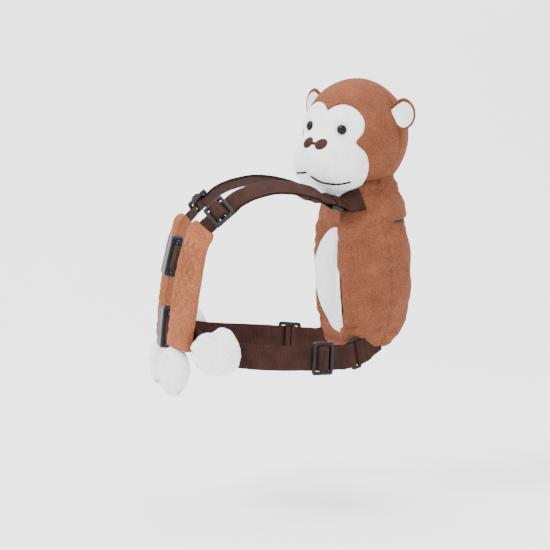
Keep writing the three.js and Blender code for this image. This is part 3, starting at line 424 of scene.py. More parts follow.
def plastic_material(name, base, roughness):
    """Moulded plastic: a faint pebbled skin, with a little wear in its gloss."""
    n = Nodes(name)
    skin = n.noise(900.0, 2.0)
    wear = n.noise(120.0, 3.0)
    n.link(n.ramp(wear, (0.35, base), (0.75, shade(base, 1.8))), n.input("Base Color"))
    rough = n.add("ShaderNodeMapRange")
    n.link(wear, rough.inputs["Value"])
    rough.inputs["To Min"].default_value = roughness - 0.06
    rough.inputs["To Max"].default_value = roughness + 0.1
    n.link(rough.outputs["Result"], n.input("Roughness"))
    n.link(n.bump(skin, 0.08, 0.0002), n.input("Normal"))
    n.set(Specular_IOR_Level=0.22)
    return n.material


def thread_material(name, base):
    """Embroidery thread: fine strands with a soft shine."""
    n = Nodes(name)
    strands = n.noise(2200.0, 2.0)
    patches = n.noise(200.0, 2.0)
    tone = n.math("ADD", n.math("MULTIPLY", strands, 0.6), n.math("MULTIPLY", patches, 0.4))
    n.link(n.ramp(tone, (0.3, shade(base, 0.55)), (0.7, shade(base, 1.5))), n.input("Base Color"))
    n.link(n.bump(strands, 0.3, 0.0002), n.input("Normal"))
    n.set(Roughness=0.7, Specular_IOR_Level=0.12)
    return n.material


def eye_material(name, base):
    """Polished plastic with faint specks below its clear surface."""
    n = Nodes(name)
    n.link(n.ramp(n.noise(500.0), (0.3, base), (0.8, shade(base, 2.5))), n.input("Base Color"))
    n.set(Roughness=0.06, Specular_IOR_Level=0.16)
    return n.material


def floor_material():
    """Seamless pale paper."""
    n = Nodes("studio_paper")
    tone = n.ramp(n.noise(3.0), (0.3, (0.93, 0.93, 0.94)), (0.7, (0.95, 0.95, 0.96)))
    n.link(tone, n.input("Base Color"))
    n.set(Roughness=0.9, Emission_Strength=0.24, Emission_Color=(1, 1, 1, 1))
    return n.material


def finish(name, make, *settings):
    """The material of that name, made when it is first asked for."""
    return bpy.data.materials.get(name) or make(name, *settings)


def brown_plush():
    """Short brown pile of the body, head and ears."""
    return finish("terry_brown", plush_material, colours().brown_plush, 0.4)


def sleeve_plush():
    """Lighter pile of the arms."""
    return finish("terry_sleeve", plush_material, colours().sleeve_plush, 0.42)


def white_plush():
    """White pile of the face, belly, hands and feet."""
    return finish("terry_white", plush_material, colours().white_plush, 0.3)


def black_plastic():
    """Moulded plastic of the buckles, adjusters and rings."""
    return finish("moulded_plastic", plastic_material, colours().plastic, 0.38)


def dark_thread():
    """Thread of the mouth and the straps' stitches."""
    return finish("mouth_thread", thread_material, colours().mouth)


# Head: its own frame has +X to the ear on the wearer's left, -Y forward and +Z up

HEAD_PLACE = (0.0, 96.0, 50.0)
HEAD_TURN = 38.0
HEAD_ROLL = 4.0
HEAD_RADII = (54.0, 54.0, 58.0)
MUZZLE_CENTRE = (0.0, -38.0, -26.5)
MUZZLE_RADII = (40.0, 34.0, 34.0)
MUZZLE_BLEND = 14.0
FACE_TURNS = (-90, -77, -65, -55.4, -43.2, -31.2, -17.4, -5.3, 11.7, 27.9, 48.6, 66.9, 90)
FACE_REACHES = (82, 79, 74.5, 70.4, 65.5, 60.9, 52.6, 40.5, 48.2, 51.6, 48.5, 42.5, 29)
FACE_SEAT = -2.3
EYE_OUT, EYE_UP = 21.0, 9.2
NOSE_DROP, NOSE_HALF = 6.4, 14.6
NOSE_LOBE_OUT, NOSE_LOBE_HALF, NOSE_LOBE_HEIGHT = 8.3, 6.3, 5.4
MOUTH_SHORT = ((-22.1, -38.5), (-10.7, -36.9), (-3.2, -35.4))
MOUTH_LONG = ((1.0, -38.5), (6.9, -42.0), (13.4, -44.4), (22.9, -45.4), (29.5, -44.4), (34.2, -42.4))
EAR_PLACE = (54.0, 8.0, 27.0)
EAR_RADIUS, EAR_CUP, EAR_RIM = 15.5, 6.0, 3.0
HEAD_MATRIX = (
    Matrix.Translation(HEAD_PLACE)
    @ Matrix.Rotation(math.radians(HEAD_TURN), 4, "Z")
    @ Matrix.Rotation(math.radians(HEAD_ROLL), 4, "Y")
)


def placed(points, matrix):
    """Points under a 4x4 matrix."""
    m = np.array(matrix)
    return points @ m[:3, :3].T + m[:3, 3]


def head_reach(d):
    """Distance from the head's centre to its surface: the larger of an ellipsoid's and the muzzle
    ellipsoid's far crossing, blended where they are close."""
    skull = 1 / np.linalg.norm(d / HEAD_RADII, axis=-1)
    ray = d / MUZZLE_RADII
    centre = np.array(MUZZLE_CENTRE) / MUZZLE_RADII
    a = (ray**2).sum(-1)
    b = ray @ centre
    inside = b * b - a * (centre @ centre - 1)
    hit = (inside > 0) & (b > 0)
    muzzle = np.where(hit, (b + np.sqrt(np.maximum(inside, 0))) / a, 0)
    share = np.clip(MUZZLE_BLEND - np.abs(skull - muzzle), 0, None) / MUZZLE_BLEND
    return np.maximum(skull, muzzle) + share**2 * MUZZLE_BLEND / 4


def head_surface(d, lift=0.0):
    """Points on the head along unit directions, moved out by lift."""
    return d * (head_reach(d) + lift)[..., None]


def face_reach(turn):
    """Angle from straight ahead to the edge of the face, at a turn round the forward axis in degrees."""
    folded = (turn + 90) % 360 - 90
    folded = np.where(folded > 90, 180 - folded, folded)
    return smooth_value(FACE_TURNS, FACE_REACHES, folded.ravel()).reshape(turn.shape)


def forward_directions(turn, reach):
    """Unit directions from a turn round the forward axis and an angle from it, both in degrees."""
    t, r = np.radians(turn), np.radians(reach)
    return np.stack([np.sin(r) * np.cos(t), -np.cos(r), np.sin(r) * np.sin(t)], -1)


def front_place(x, z):
    """Places on the head's front at x and z, by halving the span that holds the surface 30 times."""
    x, z = np.broadcast_arrays(np.asarray(x, float), np.asarray(z, float))
    low = np.zeros(x.shape)
    high = np.full(x.shape, 160.0)
    for _ in range(30):
        middle = (low + high) / 2
        p = np.stack([x, -middle, z], -1)
        inside = np.linalg.norm(p, axis=-1) < head_reach(unit(p))
        low = np.where(inside, middle, low)
        high = np.where(inside, high, middle)
    return np.stack([x, -low, z], -1)


def mesh_normals(points, quads):
    """Unit normals at the points, from the sum of the cross products of their quads' diagonals."""
    a, b, c, d = points[quads].transpose(1, 0, 2)
    cross = np.cross(c - a, d - b)
    total = np.zeros_like(points)
    for corner in quads.T:
        for axis in range(3):
            total[:, axis] += np.bincount(corner, cross[:, axis], len(points))
    return unit(total)


def plush_grid(name, grid, seed, keep=1.0):
    """A capped grid whose skin is moved out along its normals by the pile's height, times keep."""
    rows, columns = grid.shape[:2]
    points, quads = grid.reshape(-1, 3), grid_faces(rows, columns)
    a, b, c, d = points[quads].transpose(1, 0, 2)
    outward = 1 if np.einsum("ij,ij->i", a, np.cross(c - a, d - b)).sum() > 0 else -1
    height = pile(points, seed) * np.ravel(keep)
    moved = points + outward * mesh_normals(points, quads) * height[:, None]
    return build_mesh(name, moved, quads, end_caps(rows, columns))


# Stuffed cloth, without weight, under a slight pressure
CLOTH = {
    "quality": 8,
    "mass": 0.12,
    "tension_stiffness": 12,
    "compression_stiffness": 12,
    "shear_stiffness": 6,
    "bending_stiffness": 0.15,
    "air_damping": 2,
    "use_pressure": True,
    "uniform_pressure_force": 4,
    "vertex_group_mass": "held",
}
CLOTH_FRAMES = 20


def settled(skin, slack):
    """Places of a closed skin's points in millimetres, after a cloth simulation of it, cut larger by
    slack. The skin is deleted."""
    cloth = skin.modifiers.new("cloth", "CLOTH")
    for key, value in CLOTH.items():
        setattr(cloth.settings, key, value)
    cloth.settings.shrink_min = -slack
    cloth.settings.effector_weights.gravity = 0
    cloth.collision_settings.use_collision = False
    cloth.point_cache.frame_start, cloth.point_cache.frame_end = 1, CLOTH_FRAMES
    for frame_number in range(1, CLOTH_FRAMES + 1):
        bpy.context.scene.frame_set(frame_number)
    made = evaluated(skin).data
    moved = np.empty(len(made.vertices) * 3)
    made.vertices.foreach_get("co", moved)
    bpy.data.objects.remove(skin)
    bpy.context.scene.frame_set(1)
    return moved.reshape(-1, 3) / MM


def blurred(v):
    """A grid's values, each a quarter of both its neighbours' round the columns and half its own."""
    return (np.roll(v, 1, 1) + 2 * v + np.roll(v, -1, 1)) / 4


def cloth_moves(grid, held, slack, cap, row_step, column_step):
    """How far a stuffed skin's places move when its cloth, cut larger than the form by slack, is
    filled under pressure. It is simulated on a coarser grid, and held where held is 1. The even
    swelling is taken away, so that folds stay, and no place moves further than cap."""
    rows, columns = grid.shape[:2]
    r = np.unique(np.linspace(0, rows - 1, rows // row_step).round().astype(int))
    c = np.arange(0, columns, column_step)
    coarse = grid[r][:, c]
    many, round_ = coarse.shape[:2]
    points = np.concatenate([coarse.reshape(-1, 3), [coarse[0].mean(0)], [coarse[-1].mean(0)]])
    ring = np.arange(round_)
    after = (ring + 1) % round_
    base, pole = (many - 1) * round_, many * round_
    first = np.stack([0 * ring + pole, after, ring], -1)
    last = np.stack([0 * ring + pole + 1, base + ring, base + after], -1)
    ends = [*first.tolist(), *last.tolist()]
    skin = build_mesh("cloth_form", points, grid_faces(many, round_), ends)
    group = skin.vertex_groups.new(name="held")
    for i, weight in enumerate(np.clip([*held[r][:, c].ravel(), 1, 1], 0, 1)):
        group.add([i], float(weight), "REPLACE")
    step = (settled(skin, slack) - points)[:-2].reshape(coarse.shape)
    swelling = step
    for _ in range(12):
        swelling = blurred(swelling)
        swelling[1:-1] = (swelling[:-2] + 2 * swelling[1:-1] + swelling[2:]) / 4
    step = blurred(step - 0.85 * swelling)
    far = np.linalg.norm(step, axis=-1, keepdims=True)
    step = step * np.minimum(1, cap / np.maximum(far, 1e-6))
    full = smooth_value(r, step.reshape(many, -1), np.arange(rows)).reshape(rows, round_, 3)
    wide = np.concatenate([full[:, -2:], full, full[:, :3]], 1).transpose(1, 0, 2)
    keys = np.concatenate([c[-2:] - columns, c, c[:3] + columns])
    spread = smooth_value(keys, wide.reshape(len(keys), -1), np.arange(columns))
    return spread.reshape(columns, rows, 3).transpose(1, 0, 2)


def head_grid(rows, columns):
    """Unit directions in rings round the ear-to-ear axis."""
    rise = np.pi * ((np.arange(rows) + 0.35) / (rows - 0.3) - 0.5)[:, None]
    turn = turns(columns)[None, :]
    shape = np.broadcast_arrays(np.sin(rise), np.cos(rise) * np.cos(turn), np.cos(rise) * np.sin(turn))
    return np.stack(shape, -1)


def face_share(d):
    """Angle of directions from straight ahead, over the face's edge angle at their turn."""
    reach = np.degrees(np.arccos(np.clip(-d[..., 1], -1, 1)))
    turn = np.degrees(np.arctan2(d[..., 2], d[..., 0]))
    return reach / face_reach((turn + 90) % 360 - 90)


def make_head():
    """The skull and muzzle, sunk under the face, with a seam from ear to ear and one down the back."""
    d = head_grid(150, 290)
    share = face_share(d)
    edge = (share - 1) * 58
    lift = -2.4 * smooth_step(0.6, -1.4, edge) - 0.5 * ridge(edge, 1.6)
    seam = head_surface(d)
    across = seam[..., 1] - 3.0 - 0.002 * (seam[..., 2] - 20) ** 2 * np.sign(20 - seam[..., 2])
    high = smooth_step(-26, -8, seam[..., 2]) * (share > 1.02)
    lift = lift - mm("seam_depth") * 0.8 * ridge(across, mm("seam_width") * 0.8) * high
    lift = lift + 0.5 * ridge(across - 4, 3.5) * high + 0.5 * ridge(across + 4, 3.5) * high
    behind = smooth_step(4, 14, seam[..., 1])
    lift = lift - mm("seam_depth") * 0.6 * ridge(seam[..., 0], mm("seam_width") * 0.7) * behind
    lift = lift + 0.45 * bumps(seam, 21.0, 3)
    grid = placed(head_surface(d, lift), HEAD_MATRIX)
    piece = plush_grid("monkey_head", grid, 11, keep=(share > 0.97) * 1.0)
    stuff(piece, brown_plush(), "brown_plush", 0.9, "head")


def make_face():
    """A panel over the front of the skull and muzzle: a dome of rings about the forward axis, whose
    edge turns under into the seam and whose back lies just above the sunk skull."""
    columns = 300
    turn = 360 * np.arange(columns) / columns - 90
    reach = face_reach(turn)
    share = np.concatenate([np.linspace(0.012, 0.9, 66), np.linspace(0.91, 1.0, 14)])
    d = forward_directions(*np.broadcast_arrays(turn[None, :], share[:, None] * reach[None, :]))
    inward = (1 - share)[:, None] * reach[None, :]
    lift = FACE_SEAT + 2.75 * np.sqrt(np.clip(inward / 2.6, 0, 1))
    place = head_surface(d)
    below_nose = smooth_step(-36.5, -30, place[..., 2]) * smooth_step(-12, -17, place[..., 2])
    crease = ridge(place[..., 0], 1.3) * below_nose
    lift = lift - 0.8 * crease + 0.3 * bumps(place, 15.0, 5)
    lift = lift - ridge(mouth_distance(place), 1.9)
    for side in (-1, 1):
        eye = np.linalg.norm(place - front_place(side * EYE_OUT, EYE_UP), axis=-1)
        lift = lift - 1.2 * smooth_step(mm("eye_radius") + 3.4, mm("eye_radius") + 0.4, eye)
    top = head_surface(d, lift)
    under = head_surface(d[::-1], FACE_SEAT)[1::4]
    grid = np.concatenate([top, under])
    keep = np.concatenate([np.ones(top.shape[:2]), np.zeros(under.shape[:2])])
    piece = plush_grid("monkey_face", placed(grid, HEAD_MATRIX), 21, keep=keep)
    stuff(piece, white_plush(), "white_plush", 0.8, "face")


def mouth_lines():
    """The two lines of the mouth in x and z, each smooth through its measured places."""
    lines = []
    for places in (MOUTH_SHORT, MOUTH_LONG):
        keys = np.arange(len(places))
        lines.append(smooth_value(keys, np.array(places), np.linspace(0, keys[-1], 60)))
    return lines


def mouth_distance(place):
    """Distance in x and z from the nearer line of the mouth, far for places on the head's back."""
    flat = place[..., ::2]
    nearest = np.full(flat.shape[:-1], 50.0)
    for line in mouth_lines():
        for spot in line[::3]:
            nearest = np.minimum(nearest, np.linalg.norm(flat - spot, axis=-1))
    return nearest + 50 * (place[..., 1] > 0)


def tubes(name, rings):
    """A mesh of many capped tubes from an array of tubes, rings, places round a ring, and x, y, z."""
    count, rows, columns = rings.shape[:3]
    one = grid_faces(rows, columns)
    step = rows * columns
    quads = (one[None] + (np.arange(count) * step)[:, None, None]).reshape(-1, 4)
    first = np.arange(columns)[::-1]
    last = (rows - 1) * columns + np.arange(columns)
    caps = [(cap + i * step).tolist() for i in range(count) for cap in (first, last)]
    return build_mesh(name, rings, quads, caps)


def stitched(line, outward, pitch=2.7, radius=None):
    """Rings of thread along a line: a short tube for each stitch, bowed outwards and thin at its ends."""
    radius = radius or mm("thread_radius")
    far = travelled(line)
    count = max(1, int(far[-1] / pitch))
    t = np.linspace(0, 1, 5)
    at = (np.arange(count)[:, None] + 0.12 + 0.76 * t) * far[-1] / count
    place = read_off(at, far, line)
    out = unit(read_off(at, far, outward))
    place = place + out * (radius * (1.5 * np.sin(np.pi * t) - 0.5))[:, None]
    side = unit(np.cross(np.gradient(place, axis=1), out))
    turn = turns(6)
    thin = radius * np.array([0.5, 0.95, 1.0, 0.95, 0.5])[:, None, None]
    round_ = np.cos(turn)[:, None] * side[:, :, None] + np.sin(turn)[:, None] * out[:, :, None]
    return place[:, :, None] + thin * round_


def corded(line, outward, radius):
    """Rings of one embroidered cord along a line, with eleven slanted strands that ridge its skin."""
    along = unit(np.gradient(line, axis=0))
    side = unit(np.cross(along, outward))
    up = np.cross(side, along)
    turn = turns(12)
    far = travelled(line)
    ends = np.sqrt(np.clip(np.minimum(far, far[-1] - far) / radius, 0.15, 1))
    strand = 1 + 0.09 * np.sin(far[:, None] * 2 * np.pi / 1.1 + turn)
    r = (radius * ends[:, None] * strand)[..., None]
    round_ = np.cos(turn)[:, None] * side[:, None] + np.sin(turn)[:, None] * up[:, None]
    return (line[:, None] + r * round_)[None]


def surface_out(x, z):
    """Outward directions of the head's front at x and z, from its slopes a millimetre apart."""
    dx = front_place(x + 1, z) - front_place(x - 1, z)
    dz = front_place(x, z + 1) - front_place(x, z - 1)
    return unit(np.cross(dx, dz))


def turned_out(matrix, v):
    """Directions under a matrix's rotation."""
    return v @ np.array(matrix)[:3, :3].T


def make_nose_eyes():
    """Two domed eyes, two joined satin-stitched nose lobes, and the mouth's two embroidered lines."""
    for name, side in (("left", 1), ("right", -1)):
        x, z = np.array([side * EYE_OUT]), np.array([EYE_UP])
        place, out = front_place(x, z)[0], surface_out(x, z)[0]
        r = mm("eye_radius")
        t = np.linspace(0, 0.5 * np.pi, 16)[:-1]
        dome = np.stack([r * np.cos(t), -0.3 + 3.3 * np.sin(t)], -1)
        profile = np.concatenate([[(0.9 * r, -1.6), (r, -1.0)], dome, [(0.02 * r, 3.0)]])
        across = unit(np.cross(out, [0, 0, 1.0]))
        up = np.cross(across, out)
        turn = turns(48)[:, None]
        ring = np.cos(turn) * across + np.sin(turn) * up
        grid = place + profile[:, 1, None, None] * out + profile[:, 0, None, None] * ring
        piece = closed_grid("eye_" + name + "_dome", placed(grid, HEAD_MATRIX))
        dress(piece, finish("polished_eye", eye_material, colours().eye), "eye_gloss", "eye_" + name)
    x = np.linspace(-NOSE_HALF + 0.15, NOSE_HALF - 0.15, 110)
    lobe = np.sqrt(np.clip(1 - ((np.abs(x) - NOSE_LOBE_OUT) / NOSE_LOBE_HALF) ** 2, 0, 1))
    bridge = np.where(np.abs(x) < NOSE_LOBE_OUT, 1.5, 0.3)
    half = np.maximum(NOSE_LOBE_HEIGHT * lobe, bridge)
    turn = turns(40)
    z = -NOSE_DROP + half[:, None] * np.cos(turn)
    wide = np.broadcast_to(x[:, None], z.shape)
    swell = np.minimum(1, half / 3)[:, None]
    strand = 0.07 * np.sin(2 * np.pi * (wide + 0.25 * z) / 0.8)
    lift = 0.5 + np.sin(turn) * (0.9 + strand) * swell
    grid = front_place(wide, z) + surface_out(wide, z) * lift[..., None]
    piece = closed_grid("embroidered_nose", placed(grid, HEAD_MATRIX))
    dress(piece, finish("nose_thread", thread_material, colours().nose), "nose_fabric", "nose")
    rows = []
    for line in mouth_lines():
        out = surface_out(line[:, 0], line[:, 1])
        place = front_place(line[:, 0], line[:, 1]) - 0.15 * out
        at, keys = np.linspace(0, len(line) - 1, 90), np.arange(len(line))
        rows.append(corded(read_off(at, keys, place), read_off(at, keys, out), 0.95))
    grid = placed(np.concatenate(rows), HEAD_MATRIX)
    dress(tubes("embroidered_mouth", grid), dark_thread(), "nose_fabric")


def ear_grid(side, radius, thickness, height, fold):
    """A cupped disc with a rounded rim in rings about its axis, pinched towards its base by fold, and
    pushed out of the head."""
    rows, bend = np.linspace(0.02, 1, 26), np.linspace(0.3, 2.84, 7)
    rim = radius + 0.5 * thickness * np.sin(bend)
    r = np.concatenate([radius * rows, rim, radius * rows[::-1]])
    base = EAR_CUP * (np.minimum(r, radius) / EAR_RADIUS) ** 2
    up = np.concatenate([0 * rows, thickness * (1 - np.cos(bend)) / 2, 0 * rows + thickness])
    puff = np.concatenate([-0.5 * (1 - rows**2), 0 * bend, 0.6 * (1 - rows[::-1] ** 2)])
    h = height + base + up + puff
    turn = turns(110)
    axis = unit(np.array([side * 0.22, -1.0, 0.0]))
    across = unit(np.cross([0, 0, 1.0], axis))
    upward = np.cross(axis, across)
    c, s = np.cos(turn), np.sin(turn)
    outer = c * (across[0] * side)
    inner = smooth_step(0.25, -1.0, outer)
    grid = r[:, None, None] * (c[:, None] * across + (s * (1 - 0.5 * inner))[:, None] * upward)
    wave = np.clip(-outer, 0, 1) ** 2 + 0.18 * np.cos(3 * turn)
    squeeze = fold * (r[:, None] / EAR_RADIUS) ** 2 * wave
    grid = grid + (h[:, None] + squeeze)[..., None] * axis
    grid = grid + np.array(EAR_PLACE) * [side, 1, 1]
    d = unit(grid)
    near = np.linalg.norm(grid, axis=-1)
    floor = head_reach(d) + 0.1
    return np.where((near < floor)[..., None], d * floor[..., None], grid)


def make_ears():
    """Each ear: a brown cupped shell, and a white puffed lining inside its rim."""
    for name, side in (("left", 1), ("right", -1)):
        cup = placed(ear_grid(side, EAR_RADIUS, 2.4, 0, 1.5), HEAD_MATRIX)
        shell = plush_grid(f"ear_{name}_cup", cup, 31)
        stuff(shell, brown_plush(), "brown_plush", 0.5, f"ear_{name}_shell")
        pad = ear_grid(side, EAR_RADIUS - EAR_RIM, 1.6, 2.6, 2.6) + np.array([1.5 * side, 0, -0.6])
        lining = plush_grid(f"ear_{name}_inner", placed(pad, HEAD_MATRIX), 33)
        stuff(lining, white_plush(), "white_plush", 0.4, f"ear_{name}_lining")


# Routes of the left straps

SEAT = 0.3
RING_BAR, RING_GAP = 3.0, 6.4
ADJUSTER_THICK, ADJUSTER_SIDE, ADJUSTER_CENTRE, ADJUSTER_SLOT = 3.5, 3.5, 4.0, 6.5
SLOT_END = ADJUSTER_CENTRE / 2 + ADJUSTER_SLOT
RING_OFFSET = (RING_GAP + RING_BAR) / 2
BUCKLE_HEIGHT, BUCKLE_THICK, BUCKLE_HALF, BUCKLE_BODY = 42.0, 12.0, 24.0, 14.0
PIN_RADIUS, PIN_BACK = 1.7, 0.5
PIN_OFFSET = BUCKLE_HALF - PIN_RADIUS
SHOULDER_SPAN, CHEST_REACH, STRAP_DROP, TAB_DROP = 62.0, 93.0, 158.5, 16.0
WAIST_HALF, WAIST_FRONT, WAIST_DROP = 92.0, 92.0, 166.0
CHEST_STRAP_DROP = 68.6
POUCH_FRONT, POUCH_TOP, POUCH_HEIGHT, POUCH_HALF, POUCH_DEPTH = 64.0, 12.0, 183.0, 68.0, 86.6
ARM_HALF, ARM_FRONT, ARM_BACK = 18.0, 10.0, 3.0

# Each row: shares across, ahead and down, then the outward direction of the strap's face
TAB_ROWS = (
    (0.74, -1.44, 0.84, 0.88, -0.05, 0.47),
    (0.795, -1.156, 1.03, 0.7, 0, 0.7),
    (0.865, -0.953, 1, 0.38, 0.1, 0.92),
    (0.9, -0.734, 0.55, 0.38, 0.2, 0.9),
    (0.935, -0.484, 0.24, 0.4, 0.14, 0.9),
    (0.968, -0.25, 0.05, 0.42, 0.06, 0.91),
)
SHOULDER_ROWS = (
    (1, 0, 0, 0.42, 0.0, 0.91),
    (1, 0.14, 0.013, 0.44, -0.2, 0.87),
    (1, 0.28, 0.036, 0.47, -0.42, 0.78),
    (0.985, 0.43, 0.082, 0.5, -0.58, 0.64),
    (0.965, 0.575, 0.16, 0.5, -0.68, 0.53),
    (0.93, 0.74, 0.243, 0.5, -0.78, 0.38),
    (0.89, 0.84, 0.378, 0.48, -0.86, 0.18),
    (0.855, 0.903, 0.568, 0.47, -0.87, 0.12),
    (0.8, 0.962, 0.82, 0.45, -0.89, 0.07),
    (0.73, 1, 1, 0.43, -0.9, 0.03),
)
WAIST_ROWS = (
    (0.46, -1.19, 0.935, 0.8, 0.56, 0),
    (0.58, -1.04, 0.974, 0.8, 0.58, 0),
    (0.674, -0.88, 1.006, 0.83, 0.55, 0),
    (0.772, -0.674, 1.018, 0.86, 0.5, 0),
    (0.87, -0.457, 1.014, 0.9, 0.44, 0),
    (0.957, -0.217, 1.006, 0.98, 0.2, 0),
    (1, 0.011, 1, 1, -0.02, 0),
    (0.98, 0.326, 0.988, 0.95, -0.3, 0),
    (0.88, 0.63, 0.964, 0.78, -0.62, 0),
    (0.666, 0.853, 0.918, 0.52, -0.85, 0.03),
    (0.47, 0.953, 0.884, 0.4, -0.91, 0.06),
)


class Route:
    """A smooth line through places, measured by distance, that runs straight near flat places. Its
    face is the outward direction, and across is along times face."""

    def __init__(self, places, faces, flats=()):
        self.places = np.asarray(places, float)
        self.faces = unit(np.asarray(faces, float))
        self.keys = travelled(self.places)
        self.length = self.keys[-1]
        self.flats = flats

    def curved(self, s):
        """Places and directions along, out and across, at distances along the curve."""
        s = np.clip(np.atleast_1d(np.asarray(s, float)), 0, self.length)
        place = smooth_value(self.keys, self.places, s)
        ahead = smooth_value(self.keys, self.places, np.minimum(s + 0.5, self.length))
        behind = smooth_value(self.keys, self.places, np.maximum(s - 0.5, 0))
        along = unit(ahead - behind)
        face = smooth_value(self.keys, self.faces, s)
        face = unit(face - (face * along).sum(-1, keepdims=True) * along)
        return place, along, face, np.cross(along, face)

    def straightened(self, s):
        """Places and directions across, drawn to the straight line of each flat place."""
        inside = np.clip(s, 0, self.length)
        place, along, _, across = self.curved(inside)
        place = place + along * (s - inside)[:, None]
        for spot, half, fade in self.flats:
            share = (1 - smooth_step(0, 1, (np.abs(s - spot) - half) / fade))[:, None]
            base, run, _, over = self.curved(spot)
            place = place + share * (base + run * (s - spot)[:, None] - place)
            across = across + share * (over - across)
        return place, across

    def at(self, s, height=0.0):
        """Place at a distance and a height above the line, with its directions along, out and
        across, squared up from places half a millimetre ahead and behind."""
        s, height = np.broadcast_arrays(np.asarray(s, float), np.asarray(height, float))
        shape, s, height = s.shape, s.ravel(), height.ravel()
        place, across = self.straightened(s)
        along = unit(self.straightened(s + 0.5)[0] - self.straightened(s - 0.5)[0])
        across = unit(across - (across * along).sum(-1, keepdims=True) * along)
        face = np.cross(across, along)
        place = place + face * height[:, None]
        return tuple(v.reshape(*shape, 3) for v in (place, along, face, across))


def rows_of(table, width, depth, height):
    """Places and outward directions from a table of shares of a width, depth and height."""
    t = np.array(table, float)
    places = np.stack([t[:, 0] * width, -t[:, 1] * depth, 0.75 - t[:, 2] * height], -1)
    return places, t[:, 3:]


def buckle_matrix(front, drop, lean):
    """Matrix of a buckle: x along the strap to the wearer's left, y up its height, z outward."""
    tilt = Matrix.Rotation(math.pi / 2 - math.radians(lean), 4, "X")
    centre = Vector((0, -front, -drop)) - (BUCKLE_THICK / 2) * (tilt.to_3x3() @ Vector((0, 0, 1)))
    return Matrix.Translation(centre) @ tilt


CHEST_MATRIX = buckle_matrix(100, CHEST_STRAP_DROP, 13)
WAIST_MATRIX = buckle_matrix(106.8, 141.5, 5.4)


def pin_rows(matrix, angle, reach):
    """Two places by a buckle's pin, one beyond it and one on it, with their outward directions."""
    along = np.array([math.cos(angle), 0, -math.sin(angle)])
    pin = np.array([PIN_OFFSET, 0, -PIN_BACK])
    face = turned_out(matrix, np.array([[math.sin(angle), 0, math.cos(angle)]]))
    return placed(np.array([pin + reach * along, pin]), matrix), np.repeat(face, 2, 0)


def strap_route(places, faces, ring_row, adjuster_row, flat, fade):
    """Route of a strap that runs straight by its ring, for flat and then fade, and its adjuster."""
    bare = Route(places, faces)
    ring_at, adjuster_at = bare.keys[ring_row], bare.keys[adjuster_row]
    flats = ((ring_at, RING_OFFSET + flat, fade), (adjuster_at, SLOT_END + ADJUSTER_SIDE, 8))
    route = Route(places, faces, flats)
    route.ring_at, route.adjuster_at = ring_at, adjuster_at
    return route


def shoulder_route():
    """From the pouch's seat over the shoulder and down the chest."""
    tab = rows_of(TAB_ROWS, SHOULDER_SPAN, POUCH_FRONT, TAB_DROP)
    strap = rows_of(SHOULDER_ROWS, SHOULDER_SPAN, CHEST_REACH, STRAP_DROP)
    return strap_route(*(np.concatenate(v) for v in zip(tab, strap)), 2, 10, 4, 16)


def waist_route():
    """From the pouch's seat round the waist to the buckle's pin."""
    strap = rows_of(WAIST_ROWS, WAIST_HALF, WAIST_FRONT, WAIST_DROP)
    pin = pin_rows(WAIST_MATRIX, math.radians(24), 8)
    return strap_route(*(np.concatenate(v) for v in zip(strap, pin)), 2, 4, 8, 8)


SHOULDER, WAIST = shoulder_route(), waist_route()
ARM_TOP = SHOULDER.keys[11]
STRAP_END = SHOULDER.length - 30
FOOT_AT = WAIST.keys[8]


def chest_route():
    """From a pocket in the arm's inner edge to the chest buckle's pin."""
    drops = -SHOULDER.places[11:, 2]
    spot = smooth_value(drops, SHOULDER.keys[11:], [CHEST_STRAP_DROP + 0.32 * ARM_HALF])
    place, _, face, across = SHOULDER.at(spot, np.array([-0.5]))
    places = np.concatenate([place + share * ARM_HALF * across for share in (0.77, 1.1)])
    pin, out = pin_rows(CHEST_MATRIX, math.radians(-5), 6)
    return Route(np.concatenate([places, pin]), np.concatenate([face, face, out]))


CHEST = chest_route()


def layer():
    """One thickness of webbing, and the gap to the next."""
    return mm("webbing_thickness") + SEAT


def wrap():
    """From a bar's surface to the middle of the webbing round it."""
    return mm("webbing_thickness") / 2 + 1.35 * SEAT


def adjuster_height():
    """Height of an adjuster's middle over the strap that runs under it."""
    return layer() + wrap() + ADJUSTER_THICK / 2


def round_bar(s, h, half, thick, side):
    """Path round a rectangular bar, from below it to above it past its given side."""
    reach = wrap()
    corner = reach * math.sqrt(0.5)
    return [
        (s - side * half, h - thick - reach),
        (s + side * half, h - thick - reach),
        (s + side * (half + corner), h - thick - corner),
        (s + side * (half + reach), h - thick),
        (s + side * (half + reach), h + thick),
        (s + side * (half + corner), h + thick + corner),
        (s + side * half, h + thick + reach),
        (s - side * half, h + thick + reach),
    ]


def level_stretch(start, end, height):
    """A level stretch of a path, with places just inside its ends that keep it level."""
    step = math.copysign(3, end - start)
    return [(s, height) for s in (start, start + step, end - step, end)]


